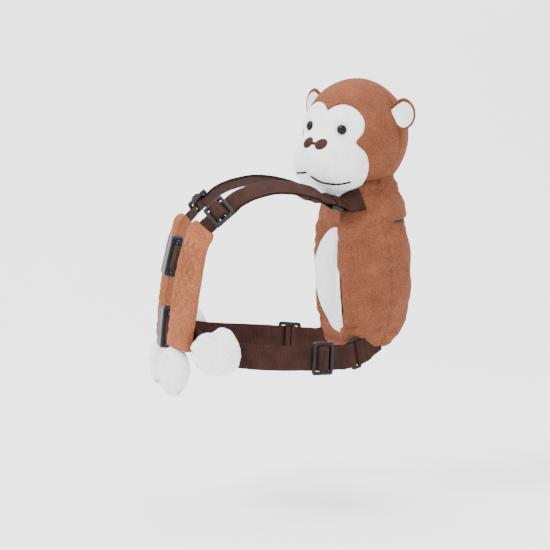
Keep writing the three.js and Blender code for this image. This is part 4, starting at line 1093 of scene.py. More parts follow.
def doubled_path(ring_at, spot):
    """Path of a strap from its adjuster round the ring's bar and back to the adjuster's centre bar."""
    half, thick = ADJUSTER_CENTRE / 2, ADJUSTER_THICK / 2
    high, step = adjuster_height(), layer()
    under, over = high - thick - wrap(), high + thick + wrap()
    inner = half + wrap()
    outer = inner + step
    rise = [
        (SLOT_END, under),
        (outer + 1.3, high - 1.1),
        (outer + 0.2, high + 1.3),
        (inner + 0.9, over + 0.8),
        (half, over + step),
    ]
    return [
        (spot + SLOT_END + ADJUSTER_SIDE + 6, 0),
        (spot + SLOT_END + ADJUSTER_SIDE, 0.6 * under),
        *[(spot + s, h) for s, h in rise],
        *[(spot - s, h) for s, h in rise[::-1]],
        *level_stretch(spot - SLOT_END - ADJUSTER_SIDE, ring_at + 8, step),
        *round_bar(ring_at, step / 2, RING_BAR / 2, RING_BAR / 2, -1)[::-1],
        *level_stretch(ring_at + 8, spot - SLOT_END, 0),
        (spot - inner - 2.2, 0.35),
        (spot - inner - 0.4, 1.9),
        *round_bar(spot, high, half, thick, -1)[4:7],
        *round_bar(spot, high, half, thick, 1)[::-1][1:],
    ]


def tab_path(ring_at):
    """Path of a tab that turns round the ring's bar, with both ends in the pouch."""
    step = layer()
    bar = round_bar(ring_at, step / 2, RING_BAR / 2, RING_BAR / 2, 1)
    return [*level_stretch(0, ring_at - 8, 0), *bar, *level_stretch(ring_at - 8, 0, step)]


def pin_path(length):
    """Path round a buckle's pin at the end of a strap, with both layers on the strap's side."""
    reach = (PIN_RADIUS + SEAT + mm("webbing_thickness") / 2) / math.cos(math.pi / 8)
    turns = [math.radians(a) for a in (-90, -45, 0, 45, 90)]
    step = layer()
    return [
        (length - 9, -step / 2),
        (length - 5, -0.75 * step),
        *[(length + reach * math.cos(a), reach * math.sin(a)) for a in turns],
        (length - 5, 0.75 * step),
        (length - 9, step / 2),
    ]


STRAP_SECTION = np.array(
    [(v, 1) for v in (-0.93, -0.7, -0.35, 0, 0.35, 0.7, 0.93)]
    + [(1, 0.45), (1, -0.45)]
    + [(v, -1) for v in (0.93, 0.7, 0.35, 0, -0.35, -0.7, -0.93)]
    + [(-1, -0.45), (-1, 0.45)]
)


def strap_line(route, path, step):
    """Places, and directions across and out, evenly along a path of distances and heights."""
    path = np.array(path, float)
    far = travelled(path)
    d = np.linspace(0, far[-1], int(far[-1] / step) + 1)
    spots = smooth_value(far, path, d)
    place, _, _, across = route.at(spots[:, 0], spots[:, 1])
    along = unit(np.gradient(place, axis=0))
    return d, place, across, unit(np.cross(across, along))


def make_strap(name, route, path):
    """Webbing swept along a path, on both sides: a flat section with rounded edges, ribbed across by
    a sine of the distance along, with its edges scalloped by the same sine."""
    d, place, across, out = strap_line(route, path, 0.37)
    half, thick = mm("webbing_width") / 2, mm("webbing_thickness") / 2
    wave = np.sin(2 * np.pi * d / mm("rib_pitch"))[:, None]
    v, h = STRAP_SECTION.T
    wide = v * half + np.sign(v) * (np.abs(v) > 0.9) * (0.12 * wave - 0.15)
    high = h * (thick - mm("rib_height") * 0.5 * (1 - wave) * (np.abs(h) > 0.9))
    grid = place[:, None] + wide[..., None] * across[:, None] + high[..., None] * out[:, None]
    uv = np.stack(np.broadcast_arrays(d[:, None], (v * half)[None]), -1)
    ribbed = finish("ribbed_webbing", webbing_material, colours().webbing)
    for hand, shape in both_hands(grid):
        dress(closed_grid(f"{name}_web_{hand}", shape, uv), ribbed, "webbing", f"{name}_{hand}")


def make_straps():
    """Every strap and tab, on both sides."""
    over = doubled_path(SHOULDER.ring_at + RING_OFFSET, SHOULDER.adjuster_at)
    round_waist = doubled_path(WAIST.ring_at + RING_OFFSET, WAIST.adjuster_at)
    make_strap("shoulder_tab", SHOULDER, tab_path(SHOULDER.ring_at - RING_OFFSET))
    make_strap("shoulder_strap", SHOULDER, [(STRAP_END, 0), *over])
    make_strap("waist_tab", WAIST, tab_path(WAIST.ring_at - RING_OFFSET))
    make_strap("waist_strap", WAIST, [*pin_path(WAIST.length), (WAIST.length - 14, 0), *round_waist])
    make_strap("chest_strap", CHEST, [*pin_path(CHEST.length), (CHEST.length - 13, 0.2 * layer()), (0, 0)])


def stitch_rows():
    """Rings of thread where straps are sewn: boxes by the buckles' pins, and rows across the tabs."""
    half = mm("webbing_width") / 2 - 2.2
    thick = mm("webbing_thickness") / 2
    step = layer()
    rows = []

    def box(route, s0, s1, h):
        """A sewn box with a cross in it, from s0 to s1 along a route."""
        near, far = [(s0, -half), (s0, half)], [(s1, -half), (s1, half)]
        corners = [near[0], far[0], far[1], near[1], near[0], far[1], near[1], far[0]]
        line = np.concatenate([np.linspace(a, b, 12) for a, b in zip(corners, corners[1:])])
        place, _, face, across = route.at(line[:, 0], np.full(len(line), h + thick + 0.02))
        rows.append(stitched(place + across * line[:, 1:], face))

    box(WAIST, WAIST.length - 8.5, WAIST.length - 16, step / 2)
    box(CHEST, CHEST.length - 8.5, CHEST.length - 13, step / 2)
    for route in (SHOULDER, WAIST):
        for back in (8.5, 6):
            s = np.full(20, route.ring_at - RING_OFFSET - back)
            place, _, face, across = route.at(s, step + thick + 0.02)
            rows.append(stitched(place + across * np.linspace(-half, half, 20)[:, None], face))
    return np.concatenate(rows)


def make_stitches():
    """The straps' sewing thread, on both sides."""
    for hand, rings in both_hands(stitch_rows()):
        dress(tubes("strap_thread_" + hand, rings), dark_thread(), "webbing")


# Hardware


def rounded(x0, x1, y0, y1, radius, count=6):
    """Outline of a rectangle with rounded corners, counter-clockwise."""
    t = np.linspace(0, math.pi / 2, count)
    arcs = []
    for cx, cy, start in (
        (x1 - radius, y0 + radius, -math.pi / 2),
        (x1 - radius, y1 - radius, 0),
        (x0 + radius, y1 - radius, math.pi / 2),
        (x0 + radius, y0 + radius, math.pi),
    ):
        arcs.append(np.stack([cx + radius * np.cos(t + start), cy + radius * np.sin(t + start)], -1))
    return np.concatenate(arcs)


def plate_mesh(outlines, low, high, bevel):
    """Mesh of a flat plate from outlines in x and y, the first outer and the rest holes, with rounded
    edges, from low to high in z. A filled 2-D curve makes it, in millimetres."""
    curve = bpy.data.curves.new("plate", "CURVE")
    curve.dimensions = "2D"
    curve.fill_mode = "BOTH"
    curve.extrude = (high - low) / 2 - bevel
    curve.bevel_depth = bevel
    curve.bevel_resolution = 2
    curve.offset = -bevel
    for outline in outlines:
        spline = curve.splines.new("POLY")
        spline.points.add(len(outline) - 1)
        flat = np.concatenate([outline, np.zeros((len(outline), 1)), np.ones((len(outline), 1))], 1)
        spline.points.foreach_set("co", flat.ravel())
        spline.use_cyclic_u = True
    holder = new_object("plate", curve)
    bpy.context.view_layer.update()
    mesh = bpy.data.meshes.new_from_object(evaluated(holder))
    bpy.data.objects.remove(holder)
    bpy.data.curves.remove(curve)
    weld(mesh)
    mesh.transform(Matrix.Translation((0, 0, (low + high) / 2)))
    return mesh


def weld(mesh):
    """Joins points that coincide, and turns every face outwards."""
    work = bmesh.new()
    work.from_mesh(mesh)
    bmesh.ops.remove_doubles(work, verts=work.verts, dist=1e-3)
    bmesh.ops.recalc_face_normals(work, faces=work.faces)
    work.to_mesh(mesh)
    work.free()


def block_mesh(low, high, bevel):
    """Mesh of a box with rounded edges."""
    work = bmesh.new()
    low, high = Vector(low), Vector(high)
    place = Matrix.Translation((low + high) / 2) @ Matrix.Diagonal((*(high - low), 1))
    bmesh.ops.create_cube(work, size=1, matrix=place)
    if bevel > 0:
        bmesh.ops.bevel(work, geom=work.edges, offset=bevel, segments=2, profile=0.5, affect="EDGES")
    mesh = bpy.data.meshes.new("block")
    work.to_mesh(mesh)
    work.free()
    return mesh


def pin_mesh(half):
    """Mesh of the round pin that a strap turns on."""
    work = bmesh.new()
    turn = Matrix.Translation((PIN_OFFSET, 0, -PIN_BACK)) @ Matrix.Rotation(math.pi / 2, 4, "X")
    size_of = {"radius1": PIN_RADIUS, "radius2": PIN_RADIUS, "depth": 2 * half}
    bmesh.ops.create_cone(work, cap_ends=True, segments=24, matrix=turn, **size_of)
    mesh = bpy.data.meshes.new("pin")
    work.to_mesh(mesh)
    work.free()
    return mesh


def carved(name, parts, cuts, matrix, mirror=False):
    """One object from parts joined and cuts taken away by exact booleans, then laid on a matrix. Its
    shading is smooth, but edges of over 35 degrees stay sharp."""
    made = [new_object("part", mesh) for mesh in (*parts, *cuts)]
    base = made[0]
    for i, other in enumerate(made[1:], 1):
        step = base.modifiers.new("carve", "BOOLEAN")
        step.solver = "EXACT"
        step.operation = "UNION" if i < len(parts) else "DIFFERENCE"
        step.object = other
    bpy.context.view_layer.update()
    mesh = bpy.data.meshes.new_from_object(evaluated(base))
    for holder in made:
        bpy.data.objects.remove(holder)
    mesh.name = name
    mesh.transform(Matrix.Diagonal((MM, MM, MM, 1)) @ matrix)
    if mirror:
        mesh.transform(Matrix.Diagonal((-1, 1, 1, 1)))
        mesh.flip_normals()
    mesh.polygons.foreach_set("use_smooth", [True] * len(mesh.polygons))
    mesh.set_sharp_from_angle(angle=math.radians(35))
    return new_object(name, mesh)


def laid(route, s, height):
    """Matrix that lays hardware on a route: x along, y across and z outward."""
    place, along, face, across = (v[0] for v in route.curved(s))
    m = Matrix.Identity(4)
    for i, axis in enumerate((along, -across, face, place + height * face)):
        m.col[i][:3] = axis
    return m


def ring_parts(bevel):
    """A flat rounded frame with one slot."""
    half = (mm("webbing_width") + 1) / 2
    x = RING_GAP / 2 + RING_BAR
    outer = rounded(-x, x, -half - RING_BAR, half + RING_BAR, 2.4)
    inner = rounded(-RING_GAP / 2, RING_GAP / 2, -half, half, 1.0)[::-1]
    return [plate_mesh((outer, inner), -RING_BAR / 2, RING_BAR / 2, bevel)]


def adjuster_parts(bevel):
    """A flat frame with two slots."""
    half = (mm("webbing_width") + 1) / 2
    x = SLOT_END + ADJUSTER_SIDE
    thick = ADJUSTER_THICK / 2
    outer = rounded(-x, x, -half - ADJUSTER_SIDE, half + ADJUSTER_SIDE, 3.0)
    holes = [
        rounded(-SLOT_END, -ADJUSTER_CENTRE / 2, -half, half, 0.9)[::-1],
        rounded(ADJUSTER_CENTRE / 2, SLOT_END, -half, half, 0.9)[::-1],
    ]
    return [plate_mesh((outer, *holes), -thick, thick, bevel)]


def make_rings():
    """Rings and adjusters on the shoulder and waist straps, on both sides."""
    bevel = mm("hardware_bevel")
    for hand, mirror in (("left", False), ("right", True)):
        for name, route in (("shoulder", SHOULDER), ("waist", WAIST)):
            matrix = laid(route, route.ring_at, layer() / 2)
            ring = carved(f"{name}_loop_{hand}", ring_parts(bevel), (), matrix, mirror)
            dress(ring, black_plastic(), "black_plastic", f"{name}_ring_{hand}")
            matrix = laid(route, route.adjuster_at, adjuster_height())
            slide = carved(f"{name}_slide_{hand}", adjuster_parts(bevel), (), matrix, mirror)
            dress(slide, black_plastic(), "black_plastic", f"{name}_adjuster_{hand}")


def pin_arms(x0):
    """The two arms that hold a strap's pin, and the pin."""
    half = (mm("webbing_width") + 1) / 2
    back, front = -PIN_BACK - PIN_RADIUS, -PIN_BACK + PIN_RADIUS
    arms = []
    for side in (-1, 1):
        low, high = sorted((side * half, side * (half + 4)))
        arms.append(block_mesh((x0, low, back), (BUCKLE_HALF, high, front), 0.6))
    return [pin_mesh(half + 1), *arms]


def make_buckles():
    """Two side-release buckles, each of a socket half and a prong half."""
    half, thick = BUCKLE_HEIGHT / 2, BUCKLE_THICK / 2
    prong, room = 2.5, 2.5 + SEAT
    bevel = 1.6
    for name, matrix in (("chest", CHEST_MATRIX), ("waist", WAIST_MATRIX)):
        body = plate_mesh((rounded(-4, BUCKLE_BODY, -half, half, 4.0),), -thick, thick, bevel)
        # Room for the prongs, the side windows that they click into, and three grip grooves
        cuts = [
            block_mesh((-6, -17.8, -room), (11.8, 17.8, room), 0),
            block_mesh((1.6, -half - 2, -room), (10.4, half + 2, room), 0),
        ]
        for x, reach in ((4.0, 9), (6.4, 8), (8.8, 7)):
            cuts.append(block_mesh((x, -reach, thick - 0.5), (x + 0.8, reach, thick + 1), 0))
        socket = carved(f"{name}_socket", [body, *pin_arms(BUCKLE_BODY - 3)], cuts, matrix)
        dress(socket, black_plastic(), "black_plastic", f"{name}_buckle_female")
        # The other half, with two side prongs, their catches and a middle guide
        join = 4 + SEAT
        body = plate_mesh((rounded(join, BUCKLE_BODY, 1 - half, half - 1, 3.4),), -thick, thick, bevel)
        parts = [body, *pin_arms(BUCKLE_BODY - 3)]
        for side in (-1, 1):
            low, high = sorted((side * 10.5, side * 17.5))
            parts.append(block_mesh((-11, low, -prong), (join + 2, high, prong), 0.7))
            low, high = sorted((side * 11.5, side * 20))
            parts.append(block_mesh((-9.6, low, -prong), (-2.4, high, prong), 0.9))
        parts.append(block_mesh((-11, -3, -prong), (join + 2, 3, prong), 0.7))
        turned_round = matrix @ Matrix.Rotation(math.pi, 4, "Z")
        prongs = carved(f"{name}_prongs", parts, (), turned_round)
        dress(prongs, black_plastic(), "black_plastic", f"{name}_buckle_male")


# Arms, hands and feet


# Each row of fill and breadth: share of the arm's length, then share of its depth or breadth
ARM_FILL = (
    (0, 0.55),
    (0.012, 0.76),
    (0.035, 0.92),
    (0.07, 1),
    (0.12, 0.96),
    (0.28, 1),
    (0.965, 1),
    (1, 0.93),
)
ARM_BREADTH = ((0, 0.82), (0.035, 0.97), (0.07, 1), (0.14, 0.93), (0.3, 1), (1, 1))
ARM_CURVE = 0.75
QUILT_PITCH, QUILT_SLOPE = 13.0, 1.25
CUFF = 15.0
QUILT_END = SHOULDER.length - ARM_TOP - CUFF


def powered(v, power):
    """Values whose size is raised to a power, with their signs kept."""
    return np.sign(v) * np.abs(v) ** power


def sleeve_grid():
    """A flat padded sleeve along the shoulder strap, gathered at its top and quilted in diamonds by
    grooves, with the bore that the strap runs in as its first rows; and where it has pile."""
    s0, s1 = ARM_TOP, SHOULDER.length
    share = np.linspace(0, 1, 104) ** 1.06
    s = s0 + share * (s1 - s0)
    fill, broad = (smooth_value(*np.array(table).T, share) for table in (ARM_FILL, ARM_BREADTH))
    turn = turns(84)
    c, n = powered(np.cos(turn), ARM_CURVE), powered(np.sin(turn), ARM_CURVE)
    side = c[None] * ARM_HALF * broad[:, None]
    depth = n[None] * np.where(n > 0, ARM_FRONT, ARM_BACK)[None] * np.where(n > 0, fill[:, None], 1)
    outer = np.clip(n, 0, 1)[None] ** 0.5
    run = s[:, None] - s0
    groove = np.zeros(side.shape)
    for lane in (run + side * QUILT_SLOPE, run - side * QUILT_SLOPE):
        away = (lane - QUILT_PITCH * np.round(lane / QUILT_PITCH)) * 0.62
        groove = np.maximum(groove, ridge(away, 1.1))
    quilted = smooth_step(12, 20, run) * smooth_step(QUILT_END, QUILT_END - 3, run)
    cuff = ridge(run - QUILT_END, 1.3)
    depth = depth - outer * (1.15 * groove * quilted + 1.3 * cuff) + 0.45 * outer * (1 - groove)
    gathers = 0.9 * np.cos(side * 1.9 + 0.6) * smooth_step(16, 0, run) * outer
    place, _, _, across = SHOULDER.at(np.broadcast_to(s[:, None], depth.shape), depth + gathers)
    skin = place + across * side[..., None]
    skin = skin + 0.5 * bumps(skin, 13.0, 9)[..., None] * unit(skin - skin.mean(1, keepdims=True))
    tube = np.linspace(s0 + 0.6, STRAP_END + 1, 30)
    wide = np.clip(1.35 * np.cos(turn), -1, 1) * 13.2
    high = np.clip(2.6 * np.sin(turn), -1, 1) * 1.55
    place, _, _, across = SHOULDER.at(*np.broadcast_arrays(tube[:, None], high[None]))
    inside = place + across * wide[None, :, None]
    keep = np.concatenate([np.zeros(inside.shape[:2]), np.ones(skin.shape[:2])])
    return np.concatenate([inside[::-1], skin]), keep


def quilting_rows():
    """Rings of thread in the left sleeve's grooves."""
    threads = []
    for lane in (1, -1):
        for k in range(-3, 12):
            across_at = np.linspace(-14.5, 14.5, 30)
            run_at = k * QUILT_PITCH - lane * QUILT_SLOPE * across_at
            quilted = (run_at > 17) & (run_at < QUILT_END - 3)
            if quilted.sum() < 5:
                continue
            across_at, run_at = across_at[quilted], run_at[quilted]
            flat = (1 - (np.abs(across_at) / ARM_HALF) ** (2 / ARM_CURVE)) ** (ARM_CURVE / 2)
            place, _, face, over = SHOULDER.at(ARM_TOP + run_at, ARM_FRONT * flat - 0.95)
            threads.append(stitched(place + over * across_at[:, None], face, 3.4, 0.28))
    return np.concatenate(threads)


def make_arms():
    """Two quilted sleeves, hollow where the straps run inside them, and their quilting thread."""
    grid, keep = sleeve_grid()
    for hand, shape in both_hands(grid):
        piece = plush_grid("plush_sleeve_" + hand, shape, 41, keep=keep)
        stuff(piece, sleeve_plush(), "brown_plush", 0.7, "arm_" + hand)
    quilting = finish("quilting", thread_material, colours().brown_plush)
    for hand, rings in both_hands(quilting_rows()):
        dress(tubes("quilting_thread_" + hand, rings), quilting, "brown_plush")


MITTEN_TURNS = (0, 35, 70, 110, 140, 165, 185, 205, 232, 255, 285, 315, 338, 360)
MITTEN_REACHES = (0.9, 0.88, 0.92, 0.92, 0.94, 1.08, 1.04, 0.84, 0.95, 1.03, 1.04, 1, 0.95, 0.9)
FINGER_GROOVES = (-0.17, 0.1, 0.34)
HAND_SIZE, FOOT_SIZE = (53.0, 46.0, 21.0), (54.0, 50.0, 19.0)


def mitten_grid(route, at, height, length, width, thick, limit=-np.inf):
    """A mitten bent along a route: rings of one outline, shrunk towards its back and front by a
    superellipse, with grooves between its fingers."""
    lift = -np.cos(np.pi * (np.arange(64) + 0.35) / 63.7)
    share = (1 - np.abs(lift) ** 2.4) ** (1 / 2.4)
    turn = turns(128)
    reach = smooth_value(MITTEN_TURNS, MITTEN_REACHES, np.degrees(turn))
    side = share[:, None] * (reach * np.cos(turn)) * width / 2
    along = -share[:, None] * (reach * np.sin(turn)) * length / 2
    high = height + lift[:, None] * thick / 2 * np.ones(len(turn))
    tip = smooth_step(0.1 * length, 0.44 * length, along + 0.06 * length)
    for spot in FINGER_GROOVES:
        high = high - np.sign(lift)[:, None] * 2.6 * ridge(side - spot * width, 2.2) * tip
        along = along - 1.8 * ridge(side - spot * width, 2.0) * tip**2
    thumb = ridge(side + 0.3 * width - 0.22 * (along + 2), 1.7)
    thumb = thumb * smooth_step(-13, -6, along) * smooth_step(9, 3, along)
    high = high - np.sign(lift)[:, None] * 1.3 * thumb * (lift[:, None] > 0)
    place, _, _, across = route.at(np.maximum(at + along, limit), high)
    grid = place - across * side[..., None]
    swell = 1.1 * bumps(grid, 12.0, 15) + 0.5 * bumps(grid, 4.5, 16)
    return grid + swell[..., None] * unit(grid - grid.mean((0, 1)))


def make_mittens():
    """White plush hands at the arms' ends and feet on the waist straps, on both sides."""
    end = SHOULDER.length
    hand = mitten_grid(SHOULDER, end + 0.45 * HAND_SIZE[0], 3.5, *HAND_SIZE, limit=end + 0.4)
    base, along, face, _ = (v[0] for v in WAIST.at(np.array([FOOT_AT])))
    half = FOOT_SIZE[0] / 2
    straight = Route([base - half * along, base + half * along], [face, face])
    foot = mitten_grid(straight, half, 0.75 + SEAT + FOOT_SIZE[2] / 2 - 1.2, *FOOT_SIZE)
    for part, grid, seed in (("hand", hand, 51), ("foot", foot, 53)):
        for side, shape in both_hands(grid):
            piece = plush_grid(f"plush_{part}_{side}", shape, seed)
            stuff(piece, white_plush(), "white_plush", 0.8, f"{part}_{side}")


# Pouch: rows of drop from its top, then shares of its half width and depth

POUCH_ROWS = np.array(
    [
        (0, 0.32, 0.4, 0.23, 0.56, 0.8),
        (0.066, 0.5, 0.55, 0.13, 0.535, 0.855),
        (0.131, 0.635, 0.65, 0.06, 0.53, 0.89),
        (0.202, 0.735, 0.71, 0.025, 0.54, 0.918),
        (0.268, 0.82, 0.765, 0.012, 0.565, 0.941),
        (0.377, 0.91, 0.853, 0, 0.612, 0.976),
        (0.503, 0.97, 0.912, 0, 0.63, 0.997),
        (0.628, 1, 0.941, 0.012, 0.63, 1),
        (0.743, 0.985, 0.926, 0.023, 0.618, 0.964),
        (0.836, 0.897, 0.868, 0.04, 0.598, 0.904),
        (0.918, 0.72, 0.735, 0.07, 0.566, 0.808),
        (0.973, 0.47, 0.5, 0.115, 0.52, 0.693),
        (1, 0.18, 0.2, 0.25, 0.44, 0.53),
    ]
)
SLIT_EDGE = ((0.39, 0.21), (0.47, 0.236), (0.56, 0.245), (1.1, 0.245))
BELLY_HALF_WIDTH, BELLY_HALF_HEIGHT, BELLY_MIDDLE = 57.0, 54.0, -98.0


def closed_curve(points, n):
    """Centripetal Catmull-Rom curves through closed rings of points, at n even shares of each ring."""
    count = points.shape[1]
    t = np.arange(n) * count / n
    i = np.floor(t).astype(int)
    w = (t - i)[None, :, None]
    p0, p1, p2, p3 = (points[:, (i + k) % count] for k in (-1, 0, 1, 2))
    pairs = ((p0, p1), (p1, p2), (p2, p3))
    gaps = (np.linalg.norm(b - a, axis=-1, keepdims=True) for a, b in pairs)
    d0, d1, d2 = (np.maximum(gap**0.5, 1e-6) for gap in gaps)
    t1 = ((p1 - p0) / d0 - (p2 - p0) / (d0 + d1) + (p2 - p1) / d1) * d1
    t2 = ((p2 - p1) / d1 - (p3 - p1) / (d1 + d2) + (p3 - p2) / d2) * d1
    return p1 + w * t1 + w**2 * (3 * (p2 - p1) - 2 * t1 - t2) + w**3 * (2 * (p1 - p2) + t1 + t2)


def pouch_controls(drop):
    """The 16 corners of the pouch's section at each drop, in x and y."""
    v = smooth_value(POUCH_ROWS[:, 0], POUCH_ROWS[:, 1:], drop)
    front, rear = v[:, 0] * POUCH_HALF, v[:, 1] * POUCH_HALF
    front_y, seam_y, back_y = (POUCH_FRONT + v[:, k] * POUCH_DEPTH for k in (2, 3, 4))
    hollow = 14 * np.minimum(1, front / (0.9 * POUCH_HALF)) ** 2
    bulge = 5 * front / POUCH_HALF
    half = [
        (0.5 * front, front_y + 0.72 * hollow),
        (0.86 * front, front_y + 0.22 * hollow),
        (front, front_y + 3),
        ((front + rear) / 2 + bulge, (front_y + seam_y) / 2 + 2),
        (rear, seam_y),
        (0.7 * rear, seam_y + 0.66 * (back_y - seam_y)),
        (0.36 * rear, seam_y + 0.925 * (back_y - seam_y)),
    ]
    ring = [(0 * front, front_y + hollow), *half, (0 * front, back_y), *[(-x, y) for x, y in half[::-1]]]
    return np.stack([np.stack(p, -1) for p in ring], 1)


def pouch_grid(drop, n):
    """Places on the pouch, evenly round each section, with each section's two seam places."""
    fine = closed_curve(pouch_controls(drop), 640)
    grid = np.empty((len(drop), n, 3))
    for row, ring in enumerate(fine):
        loop = np.concatenate([ring, ring[:1]])
        far = travelled(loop)
        grid[row, :, :2] = read_off(far[-1] * np.arange(n) / n, far, loop)
    grid[..., 2] = (POUCH_TOP - drop * POUCH_HEIGHT)[:, None]
    corners = pouch_controls(drop)
    return grid, corners[:, 3], corners[:, 5]


def slit_height(y):
    """Height of the slit's middle at each y."""
    edge = np.array(SLIT_EDGE)
    behind = (y - POUCH_FRONT) / POUCH_DEPTH
    return POUCH_TOP - POUCH_HEIGHT * np.interp(behind, edge[:, 0], edge[:, 1]) - 2.5


def seam_distance(grid, line):
    """Distance in x and y from each row's seam place, on both sides."""
    flat = np.stack([np.abs(grid[..., 0]), grid[..., 1]], -1)
    return np.linalg.norm(flat - line[:, None], axis=-1)


def tab_seat(grid):
    """1 under the shoulder tabs' ends and 0 away from them, from the distance to the tabs' lines."""
    line = rows_of(TAB_ROWS, SHOULDER_SPAN, POUCH_FRONT, TAB_DROP)[0][:3]
    line = read_off(np.linspace(0, 2, 25), (0, 1, 2), line)
    folded = np.concatenate([np.abs(grid[..., :1]), grid[..., 1:]], -1)
    return smooth_step(28, 16, np.linalg.norm(folded[..., None, :] - line, axis=-1).min(-1))


def pouch_held(grid, corner, seam):
    """Where the pouch's cloth can't move: 1 by the head and tabs, less at the seams, slit and base."""
    y, z = grid[..., 1], grid[..., 2]
    near_head = np.linalg.norm(placed(grid, HEAD_MATRIX.inverted()), axis=-1)
    by_slit = ridge(z - slit_height(y), 9) * smooth_step(88, 96, y)
    return np.max(
        [
            smooth_step(70, 60, near_head),
            0.9 * ridge(seam_distance(grid, seam), 4),
            0.9 * ridge(seam_distance(grid, corner), 4),
            0.8 * smooth_step(-158, -168, z),
            0.9 * by_slit,
            0.6 * smooth_step(-50, -38, z),
            tab_seat(grid),
        ],
        axis=0,
    )


def pouch_relief(grid, corner, seam):
    """How far the pouch's skin stands out: soft bumps, less the seams' and the slit's grooves, with a
    swell above the slit and folds that fan out from its ends."""
    x, y, z = grid[..., 0], grid[..., 1], grid[..., 2]
    lift = 0.6 * bumps(grid, 24.0, 61)
    for line, depth in ((seam, 1.0), (corner, 0.55)):
        away = seam_distance(grid, line)
        lift = lift - depth * mm("seam_depth") * ridge(away, mm("seam_width"))
        lift = lift + 0.35 * depth * ridge(away - 5, 3)
    away = z - slit_height(y)
    lift = lift + 4.0 * smooth_step(-6, 6, away) * smooth_step(-4, -22, z) * smooth_step(100, 122, y)
    open_slit = smooth_step(116, 136, y)
    lift = lift - 3.0 * open_slit * ridge(away, 1.5)
    lift = lift - 1.3 * (1 - open_slit) * smooth_step(98, 108, y) * ridge(away, 2.6)
    spot = np.stack([y - 110, z + 38], -1)
    r = np.linalg.norm(spot, axis=-1)
    fan = np.cos(5.5 * np.arctan2(spot[..., 1], spot[..., 0]) + 0.8)
    return lift + 0.8 * fan * np.exp(-r / 15) * smooth_step(2, 9, r) * smooth_step(35, 50, np.abs(x))


def clear_of_head(grid):
    """A grid with its places inside the head moved out to half a millimetre off the head's skin."""
    local = placed(grid, HEAD_MATRIX.inverted())
    d = unit(local)
    floor = head_reach(d) + 0.5
    inside = np.linalg.norm(local, axis=-1) < floor
    return np.where(inside[..., None], placed(d * floor[..., None], HEAD_MATRIX), grid)


def domed_end(ring, rise):
    """Rings that shrink from an end ring to its middle, and rise by 1 less their share squared."""
    s = np.array([0.93, 0.8, 0.62, 0.42, 0.22, 0.06])[:, None, None]
    return ring.mean(0) + s * (ring - ring.mean(0)) + (1 - s**2) * np.array([0, 0, rise])


def make_body():
    """The pouch: sections in rows down its height, domed at the top and bottom, with sewn seams, the
    slit's groove round its back, and a seat for the head."""
    share = (1 - np.cos(np.pi * np.linspace(0, 1, 150))) / 2
    drop = 0.3 * share + 0.7 * np.linspace(0, 1, 150)
    grid, corner, seam = pouch_grid(drop, 300)
    under_tab = tab_seat(grid)
    grid = grid + cloth_moves(grid, pouch_held(grid, corner, seam), 0.05, 5, 4, 4)
    normals = grid_normals(grid)
    if normals[len(normals) // 2, 0, 1] > 0:
        normals = -normals
    lift = pouch_relief(grid, corner, seam) * (1 - under_tab) - 1.2 * under_tab
    grid = clear_of_head(grid + normals * lift[..., None])
    grid = np.concatenate([domed_end(grid[0], 1.5)[::-1], grid, domed_end(grid[-1], -2.5)])
    piece = plush_grid("plush_body", grid, 65)
    stuff(piece, brown_plush(), "brown_plush", 0.5, "body")


def front_depth(x, z):
    """Depth of the pouch's front at x and z, from its sections."""
    drop = np.linspace(0.02, 0.98, 120)
    rings = closed_curve(pouch_controls(drop), 640)
    span = np.linspace(-60, 60, 121)
    table = np.array([np.interp(span, *np.concatenate([ring[-120:], ring[:121]]).T) for ring in rings])
    row = np.clip(((POUCH_TOP - z) / POUCH_HEIGHT - 0.02) / 0.96 * 119, 0, 118.999)
    column = np.clip(x + 60, 0, 119.999)
    i, j = row.astype(int), column.astype(int)
    u, v = row - i, column - j
    near = table[i, j] * (1 - v) + table[i, j + 1] * v
    far = table[i + 1, j] * (1 - v) + table[i + 1, j + 1] * v
    return near * (1 - u) + far * u


def make_belly():
    """A white padded panel in rings about its middle, that follows the pouch's hollow front."""
    turn = turns(200)
    share = np.concatenate([np.linspace(0.015, 0.85, 46), np.linspace(0.865, 1, 14)])
    rows = []
    for skin in (1, 0):
        s = (share if skin else share[::-1][::3])[:, None]
        x = BELLY_HALF_WIDTH * s * np.cos(turn)
        z = BELLY_MIDDLE + BELLY_HALF_HEIGHT * s * np.sin(turn)
        ripple = 0.7 * bumps(np.stack([x, 0 * x, z], -1), 17.0, 71)
        puff = 6.6 * np.sqrt(1 - s**4) + ripple if skin else 0 * s
        rows.append(np.stack(np.broadcast_arrays(x, front_depth(x, z) - 0.9 - puff, z), -1))
    keep = np.concatenate([np.ones(rows[0].shape[:2]), np.zeros(rows[1].shape[:2])])
    piece = plush_grid("plush_belly", np.concatenate(rows), 73, keep=keep)
    stuff(piece, white_plush(), "white_plush", 0.6, "belly")


